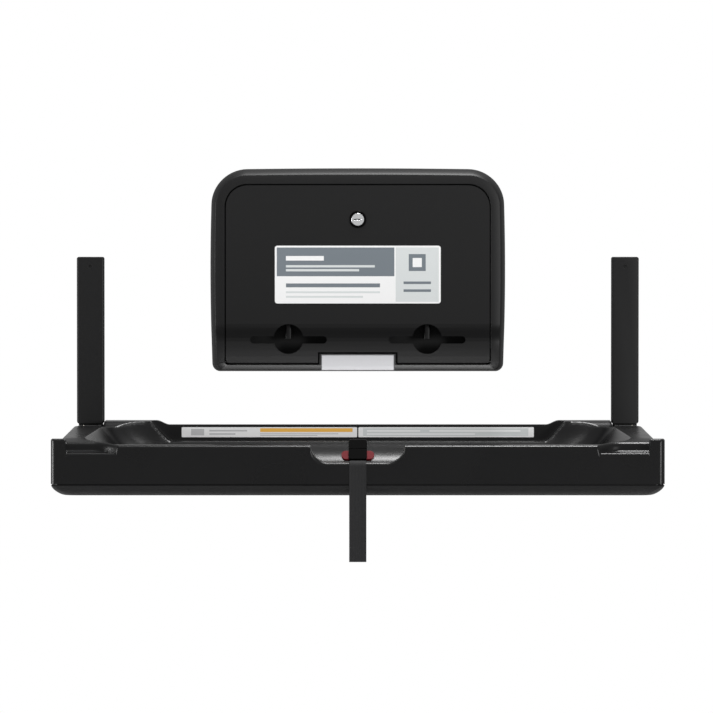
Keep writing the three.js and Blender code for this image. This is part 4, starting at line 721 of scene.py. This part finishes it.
# The front edge is a superellipse: inward by 1 - cos^1.43 and behind the face by 1 - sin^1.43 of the turn.
box_rings = [level_ring(body_outline(0), 0)]
box_rings += [
    face_ring(body_outline(1 - np.cos(turn) ** ROLL_POWER), ROLL_DEEP * (1 - np.sin(turn) ** ROLL_POWER))
    for turn in np.linspace(0, np.pi / 2, 19)
]
box_rings += [
    face_ring(box_outline(*OPENING_EDGE), 0),
    face_ring(box_outline(*OPENING), EDGE_DEEP),
    face_ring(box_outline(*OPENING), FRAME_DEEP),
    face_ring(box_outline(*CAVITY), FRAME_DEEP),
    level_ring(box_outline(*CAVITY), CAVITY_BACK),
]
satin = Finish("dispenser_black", {"Specular IOR Level": 0.24})
fine = satin.noise(900, 3)
satin.feed({"Base Color": (0.005, 0.005, 0.0052), "Roughness": 0.42 + 0.1 * fine})
satin.bumped(fine, 0.1, 0.0002)
dressed("satin_plastic", satin)
skin(
    "dispenser_box", np.concatenate(box_rings), lattice(len(box_rings), len(box_rings[0]), True, True),
    satin, "satin_plastic", "wall", ("dispenser_housing",), crease=40,
)


def bar(x0, x1, u0, u1, z0, z1, edge):
    """A block whose upright edges are rounded: a circle of radius edge, with each quarter moved out to its
    own corner, carried from foot to top."""
    turn = np.linspace(0, 2 * np.pi, BAR_SIDES + 1)[:-1]
    c, s = np.cos(turn), np.sin(turn)
    half_x, half_u = (x1 - x0) / 2, (u1 - u0) / 2
    x = (x0 + x1) / 2 + (half_x - edge) * np.sign(c) * (np.abs(c) > 0.01) + edge * c
    u = (u0 + u1) / 2 + (half_u - edge) * np.sign(s) * (np.abs(s) > 0.01) + edge * s
    rings = [np.stack([x, -u, np.full(BAR_SIDES, z)], 1) for z in (z0, z1)]
    return np.concatenate(rings), lattice(2, BAR_SIDES, True, True)


# Each rib has its two sides, its back and front, its foot and top, and the radius of its upright edges.
for rib_name, *limits in (
    ("stack_divider", -1.5, 1.5, 3, 30, 95, 399, 0.6),
    ("finger_rib_left", -111.2, -101.2, 3, 42, 141.7, 201.7, 3),
    ("finger_rib_right", 101.2, 111.2, 3, 42, 141.7, 201.7, 3),
):
    skin(rib_name, *bar(*limits), satin, "satin_plastic", "wall")

tab_up = np.linspace(TAB_LOW, TAB_HIGH, TAB_STEPS)
tab_out = np.concatenate([face_out(tab_up) - TAB_FRONT, face_out(tab_up[::-1]) - TAB_BACK])
tab_up = np.concatenate([tab_up, tab_up[::-1]])
tab_rings = [np.stack([np.full(len(tab_up), x), -tab_out, tab_up], 1) for x in (-TAB_HALF, TAB_HALF)]
skin(
    "badge_tab", np.concatenate(tab_rings), lattice(2, len(tab_up), True, True),
    satin, "satin_plastic", "wall",
)


# Dispenser door
# A flat satin panel that follows the box's flare at its foot, with a slot and a finger hole for each stack.
# It is moulded like the box, and its edges are broken by half a millimetre.
softened("door_panel", "dispenser_door", 0.5, satin, "door")


# Cam lock
# A bright plug in a black barrel at the top of the door, held by a nut behind the panel. The key's slot is
# cut in the plug's face; its shade is painted on the plug as a dark band over the slot.
SLOT_SHADE_X, SLOT_SHADE_Z = -0.001, 0.3249
SLOT_SHADE_HALF_X, SLOT_SHADE_HALF_Z = 0.0055, 0.0007
bright = (0.93, 0.94, 0.95)
lock_black = Finish("lock_black", {
    "Base Color": (0.001, 0.001, 0.001), "Roughness": 0.3, "Specular IOR Level": 0.06,
})
softened("lock_rim", "lock_body", 0.5, lock_black, "door")
chrome = Finish("lock_chrome", {"Base Color": bright, "Metallic": 1.0, "Roughness": 0.25})
dressed("chrome", chrome)
plug_metal_painted_slot = Finish("plug_metal_painted_slot", {"Metallic": 1.0, "Roughness": 0.25})
key_x, key_z = plug_metal_painted_slot.place("XZ")
# Painted shade: the plug's chrome is darkened to dark grey over the key's slot, where the cut lies in shade.
slot_shade_mask = (abs(key_z - SLOT_SHADE_Z) < SLOT_SHADE_HALF_Z) * (abs(key_x - SLOT_SHADE_X) < SLOT_SHADE_HALF_X)
plug_metal_painted_slot.feed({"Base Color": plug_metal_painted_slot.mixed(slot_shade_mask, bright, (0.1, 0.1, 0.1))})
softened("lock_face", "lock_plug", 0.3, plug_metal_painted_slot, "lock")


# Badge plate
# A plain satin metal plate with a thin darker border. It lies on the tab at the dispenser's foot and
# follows the tab's flare.
PLATE_SIDE, PLATE_LOW, PLATE_HIGH = 0.0548, 0.0949, 0.1168
plate_metal = Finish("badge_metal", {"Metallic": 0.3, "Roughness": 0.55, "Specular IOR Level": 0.3})
plate_x, plate_z = plate_metal.place("XZ")
border = 1 - (abs(plate_x) < PLATE_SIDE) * (plate_z > PLATE_LOW) * (plate_z < PLATE_HIGH)
plate_metal.feed({"Base Color": plate_metal.mixed(border, (0.385, 0.385, 0.398), (0.08, 0.08, 0.084))})
dressed("badge", plate_metal)
softened("blank_plate", "badge_plate", 0.3, plate_metal, "wall")


# Door sticker
# A paper sticker across the middle of the door, held by its own glue: white, printed with a slate panel, a
# pale panel beside it and plain bars below.
SLIP_THICK = 0.25


def paper_slip(name, half, low, high, out, corner, finish, body, middle=0):
    """A thin sheet on an upright face: a rectangle with round corners, x about middle and z from low to
    high, carried outward by the paper's thickness."""
    turn = np.linspace(0, np.pi / 2, 7)
    quarter_x = half - corner + corner * np.cos(turn)
    quarter_z = (high - low) / 2 - corner + corner * np.sin(turn)
    x = np.concatenate([quarter_x, -quarter_x[::-1], -quarter_x, quarter_x[::-1]]) + middle
    z = np.concatenate([quarter_z, quarter_z[::-1], -quarter_z, -quarter_z[::-1]]) + (low + high) / 2
    rings = [np.stack([x, np.full(len(x), -level), z], 1) for level in (out, out + SLIP_THICK)]
    skin(name, np.concatenate(rings), lattice(2, len(x), True, True), finish, "badge", body)


def boxed(x, z, limits):
    """1 inside a rectangle of x0, x1, z0, z1 in millimetres, 0 outside it."""
    x0, x1, z0, z1 = (limit / 1000 for limit in limits)
    return (x > x0) * (x < x1) * (z > z0) * (z < z1)


def printed(name, ground, areas):
    """Paper with flat printed areas: pairs of a colour and a rectangle, later ones over earlier ones."""
    print_finish = Finish(name, {"Roughness": 0.6, "Specular IOR Level": 0.2})
    x, z = print_finish.place("XZ")
    colour = ground
    for ink, limits in areas:
        colour = print_finish.mixed(boxed(x, z, limits), colour, ink)
    print_finish.feed({"Base Color": colour})
    return print_finish


white, pale, slate = (0.82, 0.82, 0.82), (0.62, 0.645, 0.645), (0.165, 0.19, 0.212)
sticker_print = printed("sticker_print", white, [
    (slate, (-124, 56, 238, 282)), (pale, (58, 124, 199, 282)), (white, (-110, -52, 262, 269)),
    (pale, (-110, 26, 251.5, 255)), (pale, (-110, 2, 245.5, 249)), (slate, (-110, 34, 221, 227)),
    (pale, (-110, 34, 212, 215)), (pale, (-110, 8, 205, 208)), (slate, (78, 104, 246, 272)),
    (white, (84, 98, 252, 266)), (slate, (70, 112, 226, 230)), (slate, (70, 112, 214, 218)),
])
paper_slip(
    "door_sticker", half=127, low=196.3, high=284.8, out=60.02, corner=4, finish=sticker_print, body="door",
)


# Recess labels
# Two paper strips side by side, glued to the rear wall of the bed's label recess. They are white and
# printed with a band of amber, grey lines and a pale panel.
amber, line_grey = (0.82, 0.45, 0.085), (0.5, 0.5, 0.51)
strip_print = printed("strip_print", white, [
    (line_grey, (-256, -236, -7, 3)), (line_grey, (-228, -170, -1, 1.4)),
    (line_grey, (-228, -188, -6, -3.8)), (amber, (-150, -8, -1.8, 4)),
    (line_grey, (-150, -30, -5.2, -4)), (line_grey, (-150, -62, -7.6, -6.4)),
    (pale, (8, 262, -8.2, 4)), (white, (14, 96, -1.4, 1.2)),
    (white, (110, 250, -1.4, 1.2)), (white, (14, 180, -6, -3.8)),
])
for hand, middle in (("left", -135.75), ("right", 135.75)):
    paper_slip(
        f"recess_label_{hand}", half=134.75, low=-9.8, high=5.6, out=31.1, corner=1.5,
        finish=strip_print, body="bed", middle=middle,
    )
